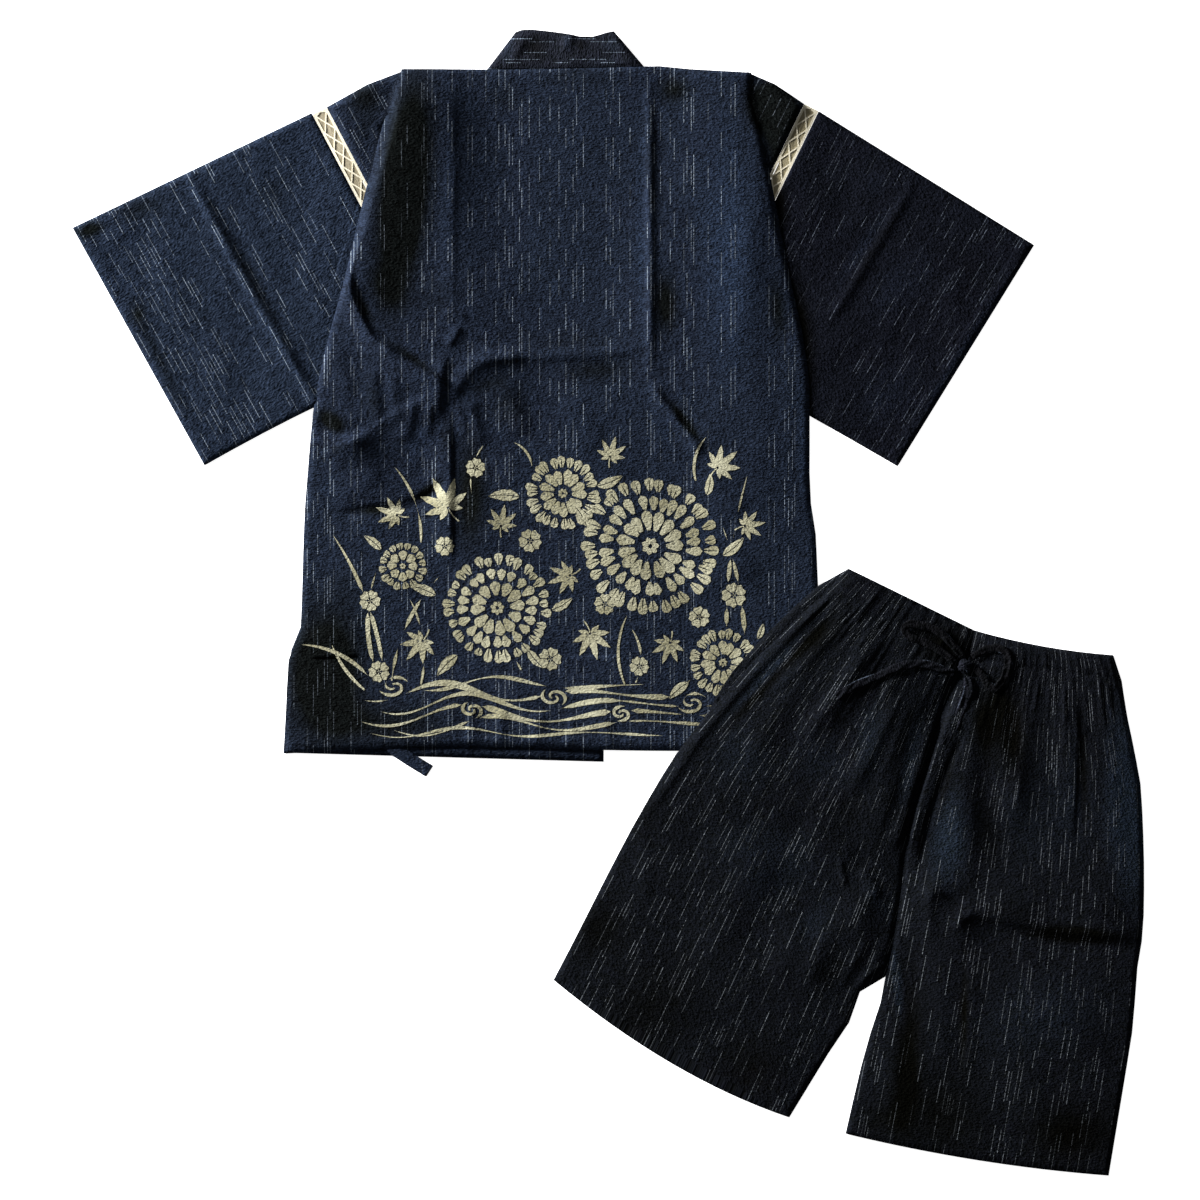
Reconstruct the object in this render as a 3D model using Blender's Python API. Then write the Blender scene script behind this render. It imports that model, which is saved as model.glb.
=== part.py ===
# A jinbei set laid flat: a wrap jacket, back up, and elasticated shorts, front up, whose waist
# overlaps the jacket's lower right corner. Every piece of cloth is a wall of its own.
# Tables are in millimetres, x to the right, y up the sheet, z up from the surface it lies on.

import math

import bmesh
import bpy
from mathutils import Vector
from mathutils.bvhtree import BVHTree

MM = 0.001  # a millimetre in Blender's metres

WALL = 1.0  # thickness of the cloth
GAP = 0.3  # clearance between neighbouring pieces
PITCH = WALL + GAP  # height of one layer in the stack
FOLD_ROUND = 2.0  # how far a turned fold takes to reach full height
ABOVE_ALL = 100.0
SHEET_CENTRE = (2.0, 0.0)  # middle of the whole set in the tables' coordinates

# Jacket body, seen from the back
SHOULDER_Y = 586.0  # shoulder line on the left, and the fall to the hem there
BODY_FALL_LEFT = 752.0
SHOULDER_Y_RIGHT = 582.0
BODY_FALL_RIGHT = 744.0
UNDERARM = 0.5  # share of the fall at which the pleat under the sleeve ends
NECK_SEAM_END = 0.6277  # share of the fall at which the collar band meets the front edge
PLEAT_ROWS = 12  # rows of cells beside the pleats
BACK_LOWER_ROWS = 11
BACK_COLUMNS = 23
FRONT_LOWER_ROWS = (0.56, NECK_SEAM_END, 0.7, 0.78, 0.815, 0.85, 0.92, 1.0)  # shares of the fall
FRONT_COLUMNS = {"outer": 3, "inner": 11}  # the inner front steps down off the outer one

LEFT_EDGE = (  # y, x: crease over the sleeve down to y 211, then the side seam and its slit
    (586, -225), (564, -232), (524, -246), (481, -257), (435, -269), (351, -289),
    (292, -305), (237, -318), (211, -322), (158, -327), (94, -332), (31, -334),
    (-28, -336), (-47, -343), (-59, -349), (-135, -353), (-166, -355),
)
RIGHT_EDGE = (  # y, x
    (582, 159), (564, 158), (524, 168), (457, 182), (351, 203), (292, 216),
    (241, 223), (206, 223), (116, 223), (98, 228), (73, 230), (3, 233),
    (-52, 241), (-96, 248), (-135, 252), (-162, 257),
)
BACK_TOP = ((-225, 586), (-131, 586), (41, 589), (48, 590), (94, 586), (159, 582))  # x, y
BACK_HEM = ((-355, -166), (-246, -160), (-162, -158), (-7, -162), (71, -163), (257, -162))
OUTER_HEM = ((-355, -165), (-310, -169), (-200, -171), (-3, -175))
INNER_HEM = ((-93, -154), (80, -156), (257, -158))

FRONT_EDGE_X = {"outer": -3.0, "inner": -93.0}  # straight lower front edges
NECK_LEFT, NECK_RIGHT = (-131.0, 586.0), (41.0, 589.0)  # ends of the back neck seam

# The pleat that lets the sleeves hang: a strip turned under the body, then a patch back out
PLEAT = {
    "left": {
        "fold": ((-218, 586), (-161, 282)),  # hidden fold, from the shoulder to the underarm
        "seam": ((-307.5, 544.5), (-168, 281)),  # edge sewn to the lace
        "crease": ((-225, 586), (-322, 211)),
    },
    "right": {
        "fold": ((153, 583), (80, 281)),
        "seam": ((217, 548), (87, 280.4)),
        "crease": ((159, 582), (223, 206)),
    },
}
PATCH_CROWN = 4.0  # the patch's shoulder edge bulges by this much

LACE_WIDTH = 18.0
LACE_BAND = 2.6  # woven band along each edge of the tape
LACE_REPEAT = 19.9  # one diamond of the lattice
LACE_THREAD = 1.5  # width of the crossing threads
SLEEVE = {  # corners: lace top, cuff top, cuff bottom, lace bottom; bow of the underarm edge;
    # share of the sleeve's length where the ridge is pressed in
    "left": {"corners": ((-324.5, 538), (-587, 412), (-442, 151), (-185, 274)), "bow": 6.0, "press": 0.47},
    "right": {"corners": ((233.5, 540), (470, 393), (320, 150), (103, 272)), "bow": 1.0, "press": 0.44},
}
SLEEVE_CELLS = 8  # each way
PRESS_HEIGHT, PRESS_WIDTH = 1.8, 0.07
SLEEVE_AIR, AIR_START = 1.4, 0.42  # height of the cuff half over its lower layer, from that share on
WEDGE_PRESS = (12.0, 30.0)  # how far round the underarm the sleeve lies pressed flat, and the ramp

COLLAR_TOP = (  # x, y: upper edge of the standing band, left fold to right fold
    (-100, 627), (-89, 630), (-65, 628), (-43, 625), (-28, 622), (-15, 622), (-2, 626), (8, 628),
)
COLLAR_END_Y = {"outer": 272.0, "inner": 271.0}  # where the band's free edge meets the front edge
COLLAR_WIDTHS = (0.0, 0.33, 0.67, 1.0)  # points across the band
COLLAR_ROWS = {"lappet": 7, "standing": 14}
LAPPET_START = 0.008  # share of a front's band before its first row, where the band folds over
COLLAR_RIDGE = {"x": -38.0, "width": 7.0, "height": 3.0}

TIE_WIDTH = 14.0
TIE_LENGTH = 237.0
TIE_STEP = 22.0  # between the points along a strap
TIE_ROUTE = {  # each strap's middle line, cut off at TIE_LENGTH
    "tie_side_inner": ((-324, 5), (-312, -34), (-282, -98), (-238, -157), (-194, -186)),
    "tie_front_inner": ((-101.5, 98), (-101.5, -145)),
    "tie_front_outer": ((5, 100), (5, -150)),
    "tie_side_outer": ((222, -10), (219, -85), (202, -131), (147, -148), (70, -154)),
}
TIE_LAYER = {"tie_side_inner": 1, "tie_front_inner": 1, "tie_front_outer": 0, "tie_side_outer": 2}

# Heights of the stack: how far each lower piece reaches before the cloth above drops off it
OUTER_RAMP = (30.0, 85.0)  # x from where to where the outer front's layer ends
EDGE_MARGIN = 30.0
EDGE_RAMP = 55.0
WEDGE_LAYERS = 5  # layers under the back beside the underarm
WEDGE_MARGIN, WEDGE_RAMP = 30.0, 60.0
DROP_MARGIN, DROP_RAMP = 25.0, 55.0
TIE_BOXES = ((-345, -185, -190, 20), (-112, -90, -160, 105))  # x0, x1, y0, y1

# Folds raised in the jacket's back: start, end, sideways bow, half width, height
BACK_FOLDS = (
    (-167, 540, -164, 296, 0, 9, 1.6),
    (-162, 158, -167, 0, 0, 9, 1.6),
    (49, 570, 49, 205, 0, 9, 1.4),
    (-280, 330, -166, 222, -16, 13, 5.0),
    (-262, 352, -190, 286, -6, 11, 3.0),
    (-206, 300, -150, 300, -5, 9, 2.6),
    (-312, 200, -262, 176, 4, 10, 3.0),
    (-236, 205, -312, 165, 5, 12, 4.0),
    (-305, 118, -165, 150, -16, 12, 3.6),
    (52, 232, 130, 165, -5, 12, 4.0),
    (-322, -22, -255, -30, 2, 9, 2.4),
    (-176, -88, -170, -150, 2, 8, 2.2),
    (-120, -100, -116, -152, -2, 9, 1.8),
    (-22, -84, -12, -150, 3, 9, 2.4),
    (170, 470, 150, 260, -6, 16, 2.4),
    (196, 300, 186, 60, -5, 15, 2.2),
)
SHORTS_OVER_JACKET = ((240, 10), (60, -190))  # line beyond which the shorts cover the back
COVER_MARGIN, COVER_FADE = 5.0, 35.0

# Shorts, seen from the front; edges run from the waist down
CENTRE_SEAM = ((405, -31), (399, -58), (374, -107), (350, -184), (330, -261), (323, -326), (307, -411))
LEG = {
    "left": {
        "side": ((266, 37), (246, 17), (197, -27), (158, -69), (114, -120), (80, -162),
                 (35, -236), (1, -300), (-36, -373), (-58, -415)),
        "inseam": ((307, -411), (290, -420), (277, -431), (276, -444), (256, -476),
                   (226, -525), (201, -566)),
        "waist_bow": 0.0, "hem_bow": -16.0,
    },
    "right": {
        "side": ((557, -58), (565, -80), (571, -118), (580, -162), (588, -210), (591, -304),
                 (590, -362), (585, -388), (578, -471), (570, -521), (552, -630)),
        "inseam": ((307, -411), (301, -442), (288, -481), (276, -527), (269, -558), (263, -584)),
        "waist_bow": -4.0, "hem_bow": -6.0,
    },
}
CROTCH = 0.67  # share of the panel's rows that lie above the crotch
CASING = 0.052  # share of the rows in the turned-down waist casing
WAIST_BOW_ROWS = 0.3  # share of the rows over which the waist's bow fades, and the hem's begins
BACK_PEEK = (-8.0, 6.0)  # how far the left back panel shows past the front's side seam
PEEK_ROWS = (0.03, 0.3, 0.12)  # where it is full, how far down, and the rows over which it ends
LIFT = 3 * PITCH  # the shorts' height over the jacket's corner
LIFT_MARGIN, LIFT_RAMP = 20.0, 110.0
JACKET_CORNER = (257.0, -163.0)

GATHERS = 12  # ripples across each front at the waist
GATHER_ROWS = (  # share of the rows, points across, height of a ripple
    (0.0, 49, 1.2), (CASING, 49, 1.6), (0.062, 49, 2.6), (0.09, 49, 2.8),
    (0.125, 25, 2.0), (0.165, 25, 1.2),
)
LEG_ROWS = (0.205, 0.25, 0.3, 0.35, 0.4, 0.45, 0.5, 0.55, 0.6, CROTCH, 0.725, 0.79, 0.86, 0.93, 1.0)
LEG_COLUMNS = 17
LEG_BACK_ROWS = (0.0, 0.062, 0.125) + LEG_ROWS
LEG_BACK_COLUMNS = 9
PUFF = 2.2  # air under the shorts' fronts
SHORTS_FOLDS = (  # start, end, sideways bow, half width, height
    (372, -92, 338, -262, -4, 8, 5.5),
    (356, -100, 316, -262, -4, 7, -5.0),
    (346, -96, 296, -262, -6, 13, 5.0),
    (384, -150, 362, -262, 2, 8, 4.0),
    (378, -180, 352, -268, 2, 5, -3.5),
    (416, -92, 388, -290, -6, 13, 3.6),
    (470, -92, 452, -250, -4, 12, 3.2),
    (520, -96, 520, -280, 2, 12, 3.0),
    (552, -104, 566, -300, 4, 10, 2.4),
    (298, -36, 214, -190, -8, 13, 3.4),
    (262, -30, 150, -196, -8, 13, 3.0),
    (326, -64, 268, -220, -6, 11, 3.2),
    (110, -130, 40, -270, 6, 14, 2.6),
    (398, -326, 588, -350, -7, 11, 5.0),
    (398, -346, 588, -374, -7, 7, -4.0),
    (312, -318, 402, -330, 8, 12, 4.0),
    (360, -282, 352, -352, 0, 8, 3.4),
    (398, -334, 372, -362, 4, 7, 3.4),
    (300, -300, 262, -420, -8, 12, 3.4),
    (270, -330, 210, -440, -6, 12, 3.0),
    (318, -420, 300, -560, 6, 10, 2.6),
    (170, -250, 90, -420, 8, 18, 2.2),
    (470, -400, 462, -590, 2, 16, 1.8),
)

CORD_WIDTH = 9.0
CORD_THICK = 1.2
STRAND_GAP = 0.5  # over the ripples between the points where the cloth's height is taken
KNOT_AT = (394.0, -70.0)
KNOT_SIZE = (18.0, 16.0, 7.0)
CORD_STEP = 5.0
CORD_ROUTE = {  # each strand of the bow: the loops run from the knot round to it, the tails to their ends
    "drawstring_loop_left": (
        (391, -59), (381, -48), (371, -37), (359, -29), (345, -25), (333, -23.5), (327, -29),
        (332, -37), (345, -42.5), (358, -48), (371, -56), (383, -66)),
    "drawstring_tail_left": (
        (382, -78), (372, -75), (361, -70.5), (350, -67.5), (338, -68), (326, -69.5), (314, -73),
        (302, -79), (291, -84), (280, -88), (269, -93), (260, -98), (252, -103)),
    "drawstring_loop_right": (
        (401.5, -60), (410, -55), (420, -51), (430, -50), (438, -54), (441, -63), (439, -75),
        (434, -87), (427, -94), (420, -91), (414, -82), (406, -73)),
    "drawstring_tail_down": (
        (396, -82), (397.5, -90), (396.5, -99), (393, -109), (389, -119), (385, -130), (381, -140),
        (376, -149), (371, -157)),
}
PROBES_ACROSS = (-1.2, -0.8, -0.4, 0.0, 0.4, 0.8, 1.2)  # in half widths of the strand
PROBES_ALONG = (-3.0, 0.0, 3.0)

NAVY = (0.020, 0.027, 0.048)
DEEP_NAVY = (0.010, 0.012, 0.020)
CREAM = (0.78, 0.70, 0.52)


def clearScene():
    for item in list(bpy.data.objects):
        bpy.data.objects.remove(item)


def cloth(name, colour):
    """A matt woven cotton in one colour."""
    material = bpy.data.materials.new(name)
    material.use_nodes = True
    shader = material.node_tree.nodes["Principled BSDF"]
    shader.inputs["Base Color"].default_value = (*colour, 1.0)
    shader.inputs["Roughness"].default_value = 0.85
    shader.inputs["Metallic"].default_value = 0.0
    return material


def clamp(value):
    return min(1.0, max(0.0, value))


def ease(value):
    """0 to 1 with a soft start and end."""
    value = clamp(value)
    return value * value * (3 - 2 * value)


def inside(share, reach):
    """0 at both ends of a stretch, 1 once that share of it is passed."""
    return ease(share / reach) * ease((1 - share) / reach)


def falloff(distance, margin, ramp):
    """1 up to the margin, then down to 0 over the ramp."""
    return 1 - ease((distance - margin) / ramp)


def mix(a, b, share):
    return tuple(p + (q - p) * share for p, q in zip(a, b))


def through(rows):
    """A smooth function of the first column through the second, with no overshoot."""
    rows = sorted(rows)
    keys, values = [r[0] for r in rows], [r[1] for r in rows]
    slopes = [(values[i + 1] - values[i]) / (keys[i + 1] - keys[i]) for i in range(len(rows) - 1)]
    tangents = [slopes[0]]
    for before, after in zip(slopes, slopes[1:]):
        same = before * after > 0
        tangents.append(2 * before * after / (before + after) if same else 0.0)
    tangents.append(slopes[-1])

    def at(key):
        key = min(keys[-1], max(keys[0], key))
        i = max(j for j in range(len(slopes)) if keys[j] <= key)
        span = keys[i + 1] - keys[i]
        t = (key - keys[i]) / span
        return (
            values[i] * (1 + 2 * t) * (1 - t) ** 2
            + values[i + 1] * t * t * (3 - 2 * t)
            + span * tangents[i] * t * (1 - t) ** 2
            - span * tangents[i + 1] * t * t * (1 - t)
        )

    return at


def along(points):
    """A smooth path through points, as a function of the share of its length."""
    lengths = [0.0]
    for a, b in zip(points, points[1:]):
        lengths.append(lengths[-1] + math.dist(a, b))
    xs = through([(d, p[0]) for d, p in zip(lengths, points)])
    ys = through([(d, p[1]) for d, p in zip(lengths, points)])
    return lambda share: (xs(share * lengths[-1]), ys(share * lengths[-1]))


def towards(start, end, distance):
    """The point that lies that far from start on the way to end."""
    return mix(start, end, distance / math.dist(start, end))


def distanceOutside(x, y, corners):
    """Distance from a point to a convex polygon, 0 inside it."""
    inside, best = [], math.inf
    for a, b in zip(corners, corners[1:] + corners[:1]):
        ex, ey = b[0] - a[0], b[1] - a[1]
        inside.append(ex * (y - a[1]) - ey * (x - a[0]) >= 0)
        share = clamp(((x - a[0]) * ex + (y - a[1]) * ey) / (ex * ex + ey * ey))
        best = min(best, math.dist((x, y), mix(a, b, share)))
    return 0.0 if all(inside) or not any(inside) else best


def foldHeight(x, y, folds):
    """Sum of the folds at a point; each one fades at its ends and sides."""
    total = 0.0
    for x0, y0, x1, y1, bow, halfWidth, height in folds:
        length = math.dist((x0, y0), (x1, y1))
        ax, ay = (x1 - x0) / length, (y1 - y0) / length
        t = ((x - x0) * ax + (y - y0) * ay) / length
        if not 0 < t < 1:
            continue
        off = (y - y0) * ax - (x - x0) * ay - 4 * bow * t * (1 - t)
        total += height * math.exp(-((off / halfWidth) ** 2)) * ease(4 * t) * ease(4 * (1 - t))
    return total


class Wall:
    """A wall of cloth: paired points on its two faces, and the cells that they span."""

    def __init__(self):
        self.face, self.back, self.cells = [], [], []

    def pair(self, face, back):
        self.face.append(face)
        self.back.append(back)
        return len(self.face) - 1

    def level(self, point, low, thick=WALL):
        """A point of a level stretch whose underside is at low."""
        return self.pair((*point, low + thick), (*point, low))

    def turned(self, point, low):
        """The same where the cloth lies face down."""
        return self.pair((*point, low), (*point, low + WALL))

    def fold(self, edge, inward, upperLow, lowerLow):
        """A point on a fold's edge, between a layer and the one below it."""
        middle = (upperLow + WALL + lowerLow) / 2
        return self.pair((*edge, middle), (*towards(edge, inward, WALL), middle))

    def join(self, above, below):
        """Fills the strip between two rows of points, also where one has more than the other."""
        if len(above) == len(below):
            for a, b, c, d in zip(above, below, below[1:], above[1:]):
                self.cells += self.split(a, b, c, d)
            return
        i = j = 0
        while i < len(above) - 1 or j < len(below) - 1:
            nextAbove = (i + 1) / (len(above) - 1)
            nextBelow = (j + 1) / (len(below) - 1)
            if j == len(below) - 1 or (i < len(above) - 1 and nextAbove <= nextBelow):
                self.cells.append((above[i], below[j], above[i + 1]))
                i += 1
            else:
                self.cells.append((above[i], below[j], below[j + 1]))
                j += 1

    def split(self, a, b, c, d):
        """Two triangles along the shorter diagonal, so that stacked layers split alike."""
        first, second = (math.dist(self.face[p][:2], self.face[q][:2]) for p, q in ((a, c), (b, d)))
        if first < second:
            return [(a, b, c), (a, c, d)]
        return [(a, b, d), (b, c, d)]

    def faces(self):
        count = len(self.face)
        uses = {}
        for cell in self.cells:
            for a, b in zip(cell, cell[1:] + cell[:1]):
                uses.setdefault(frozenset((a, b)), []).append((a, b))
        rims = [pairs[0] for pairs in uses.values() if len(pairs) == 1]
        backs = [tuple(i + count for i in reversed(cell)) for cell in self.cells]
        return self.cells + backs + [(b, a, a + count, b + count) for a, b in rims]

    def build(self, name, material):
        cx, cy = SHEET_CENTRE
        points = [Vector(((x - cx), (y - cy), z)) * MM for x, y, z in self.face + self.back]
        return solid(name, points, self.faces(), material)


def solid(name, points, faces, material):
    """One closed object with its faces pointing out."""
    mesh = bpy.data.meshes.new(name)
    mesh.from_pydata(points, [], faces)
    shape = bmesh.new()
    shape.from_mesh(mesh)
    bmesh.ops.recalc_face_normals(shape, faces=shape.faces)
    shape.to_mesh(mesh)
    shape.free()
    mesh.materials.append(material)
    item = bpy.data.objects.new(name, mesh)
    bpy.context.collection.objects.link(item)
    return item


# ---- heights of the jacket's stack ----

def outerCover(x):
    start, end = OUTER_RAMP
    return clamp((end - x) / (end - start))


def innerCover(x, y):
    """How much of the inner front, with its band, lies under the back here."""
    slope = (NECK_RIGHT[0] - FRONT_EDGE_X["inner"]) / (NECK_RIGHT[1] - 115.0)
    bandEdge = COLLAR_TOP[-1][0] - slope * (COLLAR_TOP[-1][1] - y)
    edge = max(FRONT_EDGE_X["inner"], bandEdge)
    return clamp((x - edge + EDGE_MARGIN + EDGE_RAMP) / EDGE_RAMP)


def tieCover(x, y):
    best = 0.0
    for x0, x1, y0, y1 in TIE_BOXES:
        away = math.dist((x, y), (min(x1, max(x0, x)), min(y1, max(y0, y))))
        best = max(best, 1 - clamp((away - EDGE_MARGIN) / EDGE_RAMP))
    return best


def frontLow(x, side):
    """Underside of a front's main area."""
    return 0.0 if side == "left" else PITCH * outerCover(x)


def wedge(side):
    """The triangle beside the underarm where the pleat's layers lie under the body."""
    pleat = PLEAT[side]
    return [pleat["crease"][0], pleat["crease"][1], pleat["fold"][1]]


def sleeveLow(x, y, side):
    """Underside of the sleeve, the lace and the patches: on the front, then down to the floor."""
    away = distanceOutside(x, y, wedge(side))
    return frontLow(x, side) + 2 * PITCH * falloff(away, DROP_MARGIN, DROP_RAMP)


def backBase(x, y):
    """Underside of the back's main area, before its folds."""
    low = PITCH * (outerCover(x) + max(innerCover(x, y), tieCover(x, y)))
    for side in PLEAT:
        away = distanceOutside(x, y, wedge(side))
        top = frontLow(x, side) + WEDGE_LAYERS * PITCH
        low += (top - low) * falloff(away, WEDGE_MARGIN, WEDGE_RAMP)
    return low


def clearOfShorts(x, y):
    """1 in the open, 0 where the shorts lie on the back."""
    (ax, ay), (bx, by) = SHORTS_OVER_JACKET
    length = math.dist((ax, ay), (bx, by))
    past = ((x - bx) * (ay - by) - (y - by) * (ax - bx)) / length
    return 1 - ease((past + COVER_FADE + COVER_MARGIN) / COVER_FADE)


def backLow(x, y):
    return backBase(x, y) + max(0.0, foldHeight(x, y, BACK_FOLDS)) * clearOfShorts(x, y)


# ---- jacket ----

leftEdgeX = through(LEFT_EDGE)
rightEdgeX = through(RIGHT_EDGE)
backTopY = through(BACK_TOP)


def bodyEdge(side, share):
    """A point of the body's left or right outline at a share of its fall."""
    if side == "left":
        y = SHOULDER_Y - BODY_FALL_LEFT * share
        return (leftEdgeX(y), y)
    y = SHOULDER_Y_RIGHT - BODY_FALL_RIGHT * share
    return (rightEdgeX(y), y)


def shares(start, end, steps):
    return [start + (end - start) * i / steps for i in range(steps + 1)]


def pleatRow(wall, side, share, turnedOver, mainStart):
    """One row of the pleat, from the lace seam to the crease, for the back or a front."""
    pleat = PLEAT[side]
    s = share / UNDERARM
    hidden = mix(*pleat["fold"], s)
    seam = mix(*pleat["seam"], s)
    crease = bodyEdge(side, share)
    put = wall.turned if turnedOver else wall.level
    putStrip = wall.level if turnedOver else wall.turned
    stripLayer, patchLift = (1, 0.0) if turnedOver else (WEDGE_LAYERS - 1, PITCH)

    def patchPoint(part):
        x, y = mix(seam, hidden, part)
        return (x, y + 4 * PATCH_CROWN * (1 - s) * part * (1 - part))

    def patchLow(point):
        return sleeveLow(*point, side) + patchLift

    def stripLow(point):
        return frontLow(point[0], side) + stripLayer * PITCH

    reach = math.dist(seam, hidden)
    row = [patchPoint(0.0), patchPoint(0.5)]
    ids = [put(p, patchLow(p)) for p in row]
    near = patchPoint(1 - FOLD_ROUND / reach)
    ids.append(put(near, patchLow(near)))
    layers = sorted((patchLow(hidden), stripLow(hidden)), reverse=True)
    ids.append(wall.fold(hidden, near, *layers))
    for point in (
        towards(hidden, crease, FOLD_ROUND),
        mix(hidden, crease, 0.5),
        towards(crease, hidden, FOLD_ROUND),
    ):
        ids.append(putStrip(point, stripLow(point)))
    mainLow = frontLow(crease[0], side) + (0 if turnedOver else WEDGE_LAYERS * PITCH)
    layers = sorted((mainLow, stripLow(crease)), reverse=True)
    ids.append(wall.fold(crease, mainStart, *layers))
    return ids


def makeBack(material):
    wall = Wall()
    hemY = through(BACK_HEM)
    upper = shares(0.0, UNDERARM, PLEAT_ROWS)
    lower = shares(UNDERARM, 1.0, BACK_LOWER_ROWS)[1:]
    previous = None
    for share in upper + lower:
        left, right = bodyEdge("left", share), bodyEdge("right", share)

        def mainPoint(part):
            x = left[0] + (right[0] - left[0]) * part
            return (x, backTopY(x) + (hemY(x) - backTopY(x)) * share)

        width = right[0] - left[0]
        inset = FOLD_ROUND / width
        edgeParts = [inset, *shares(0.0, 1.0, BACK_COLUMNS)[1:-1], 1 - inset]
        main = [wall.level(mainPoint(p), backLow(*mainPoint(p))) for p in edgeParts]
        if share <= UNDERARM:
            first = pleatRow(wall, "left", share, False, mainPoint(edgeParts[0]))
            last = pleatRow(wall, "right", share, False, mainPoint(edgeParts[-1]))
            row = first + main + last[::-1]
            if previous:
                wall.join(previous, row)
            previous = row
            body = [first[-1], *main, last[-1]]
        else:
            row = [wall.level(p, backLow(*p)) for p in (left, right)]
            row = [row[0], *main, row[1]]
            wall.join(body, row)
            body = row
    return wall.build("jacket_back", material)


def makeFront(kind, side, hem, material):
    """A front panel: its main area, its pleat, and a straight neck seam above its front edge."""
    wall = Wall()
    hemY = through(hem)
    neck = NECK_LEFT if side == "left" else NECK_RIGHT
    edgeX = FRONT_EDGE_X[kind]
    inwards = -1 if side == "left" else 1
    neckEndY = bodyEdge(side, NECK_SEAM_END)[1]
    hemX, hemEndY = bodyEdge(side, 1.0)
    previous = None
    for share in (*shares(0.0, UNDERARM, PLEAT_ROWS), *FRONT_LOWER_ROWS):
        x, y = bodyEdge(side, share)
        seamX = neck[0] + (edgeX - neck[0]) * clamp(share / NECK_SEAM_END) + inwards * GAP
        belowNeck = clamp((share - NECK_SEAM_END) / (1 - NECK_SEAM_END))
        outside = (x, y + (hemY(hemX) - hemEndY) * belowNeck)
        seamY = backTopY(seamX) if share == 0 else y
        if belowNeck > 0:
            seamY = neckEndY + (hemY(seamX) - neckEndY) * belowNeck
        front = (seamX, seamY)
        start = towards(outside, front, FOLD_ROUND)
        parts = shares(0.0, 1.0, FRONT_COLUMNS[kind])[1:]
        points = [start, *(mix(outside, front, p) for p in parts)]
        main = [wall.turned(p, frontLow(p[0], side)) for p in points]
        if share <= UNDERARM:
            first = pleatRow(wall, side, share, True, start)
            row = first + main
            if previous:
                wall.join(previous, row)
            previous = row
            body = [first[-1], *main]
        else:
            row = [wall.turned(outside, frontLow(outside[0], side)), *main]
            wall.join(body, row)
            body = row
    return wall.build(f"jacket_front_{kind}", material)


def makeSleeve(side, material):
    """A flattened tube, open at the lace and at the cuff."""
    laceTop, cuffTop, cuffBottom, laceBottom = SLEEVE[side]["corners"]
    bow = SLEEVE[side]["bow"]
    wall = Wall()
    previous = None
    for u in shares(0.0, 1.0, SLEEVE_CELLS):
        top = mix(laceTop, cuffTop, u)
        x, y = mix(laceBottom, cuffBottom, u)
        bottom = (x, y + 4 * bow * u * (1 - u))
        inset = FOLD_ROUND / math.dist(top, bottom)
        parts = [inset, *shares(0.0, 1.0, SLEEVE_CELLS)[1:-1], 1 - inset]
        points = [mix(top, bottom, p) for p in parts]
        lows = [sleeveLow(*p, side) for p in points]
        upper = [
            wall.level(p, low + PITCH + sleeveCrease(u, part, side) * clearOfWedge(p, side))
            for p, low, part in zip(points, lows, parts)
        ]
        lower = [wall.turned(p, low) for p, low in zip(points, lows)]
        foldTop = wall.fold(top, bottom, lows[0] + PITCH, lows[0])
        foldBottom = wall.fold(bottom, top, lows[-1] + PITCH, lows[-1])
        ring = [foldTop, *upper, foldBottom, *lower[::-1], foldTop]
        if previous:
            wall.join(previous, ring)
        previous = ring
    return wall.build(f"sleeve_{side}", material)


def clearOfWedge(point, side):
    """0 where the body's folds press the sleeve flat, 1 in the open."""
    return 1 - falloff(distanceOutside(*point, wedge(side)), *WEDGE_PRESS)


def sleeveCrease(u, part, side):
    """Pressed ridge down the sleeve, and a little air beside it; none near the seams."""
    press = SLEEVE[side]["press"]
    ridge = PRESS_HEIGHT * math.exp(-(((u - press) / PRESS_WIDTH) ** 2)) * ease(3 * (1 - part))
    air = SLEEVE_AIR * ease(5 * (u - AIR_START)) * math.sin(math.pi * u) * math.sin(math.pi * part)
    return (ridge + air) * inside(part, 1 / 8)


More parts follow.
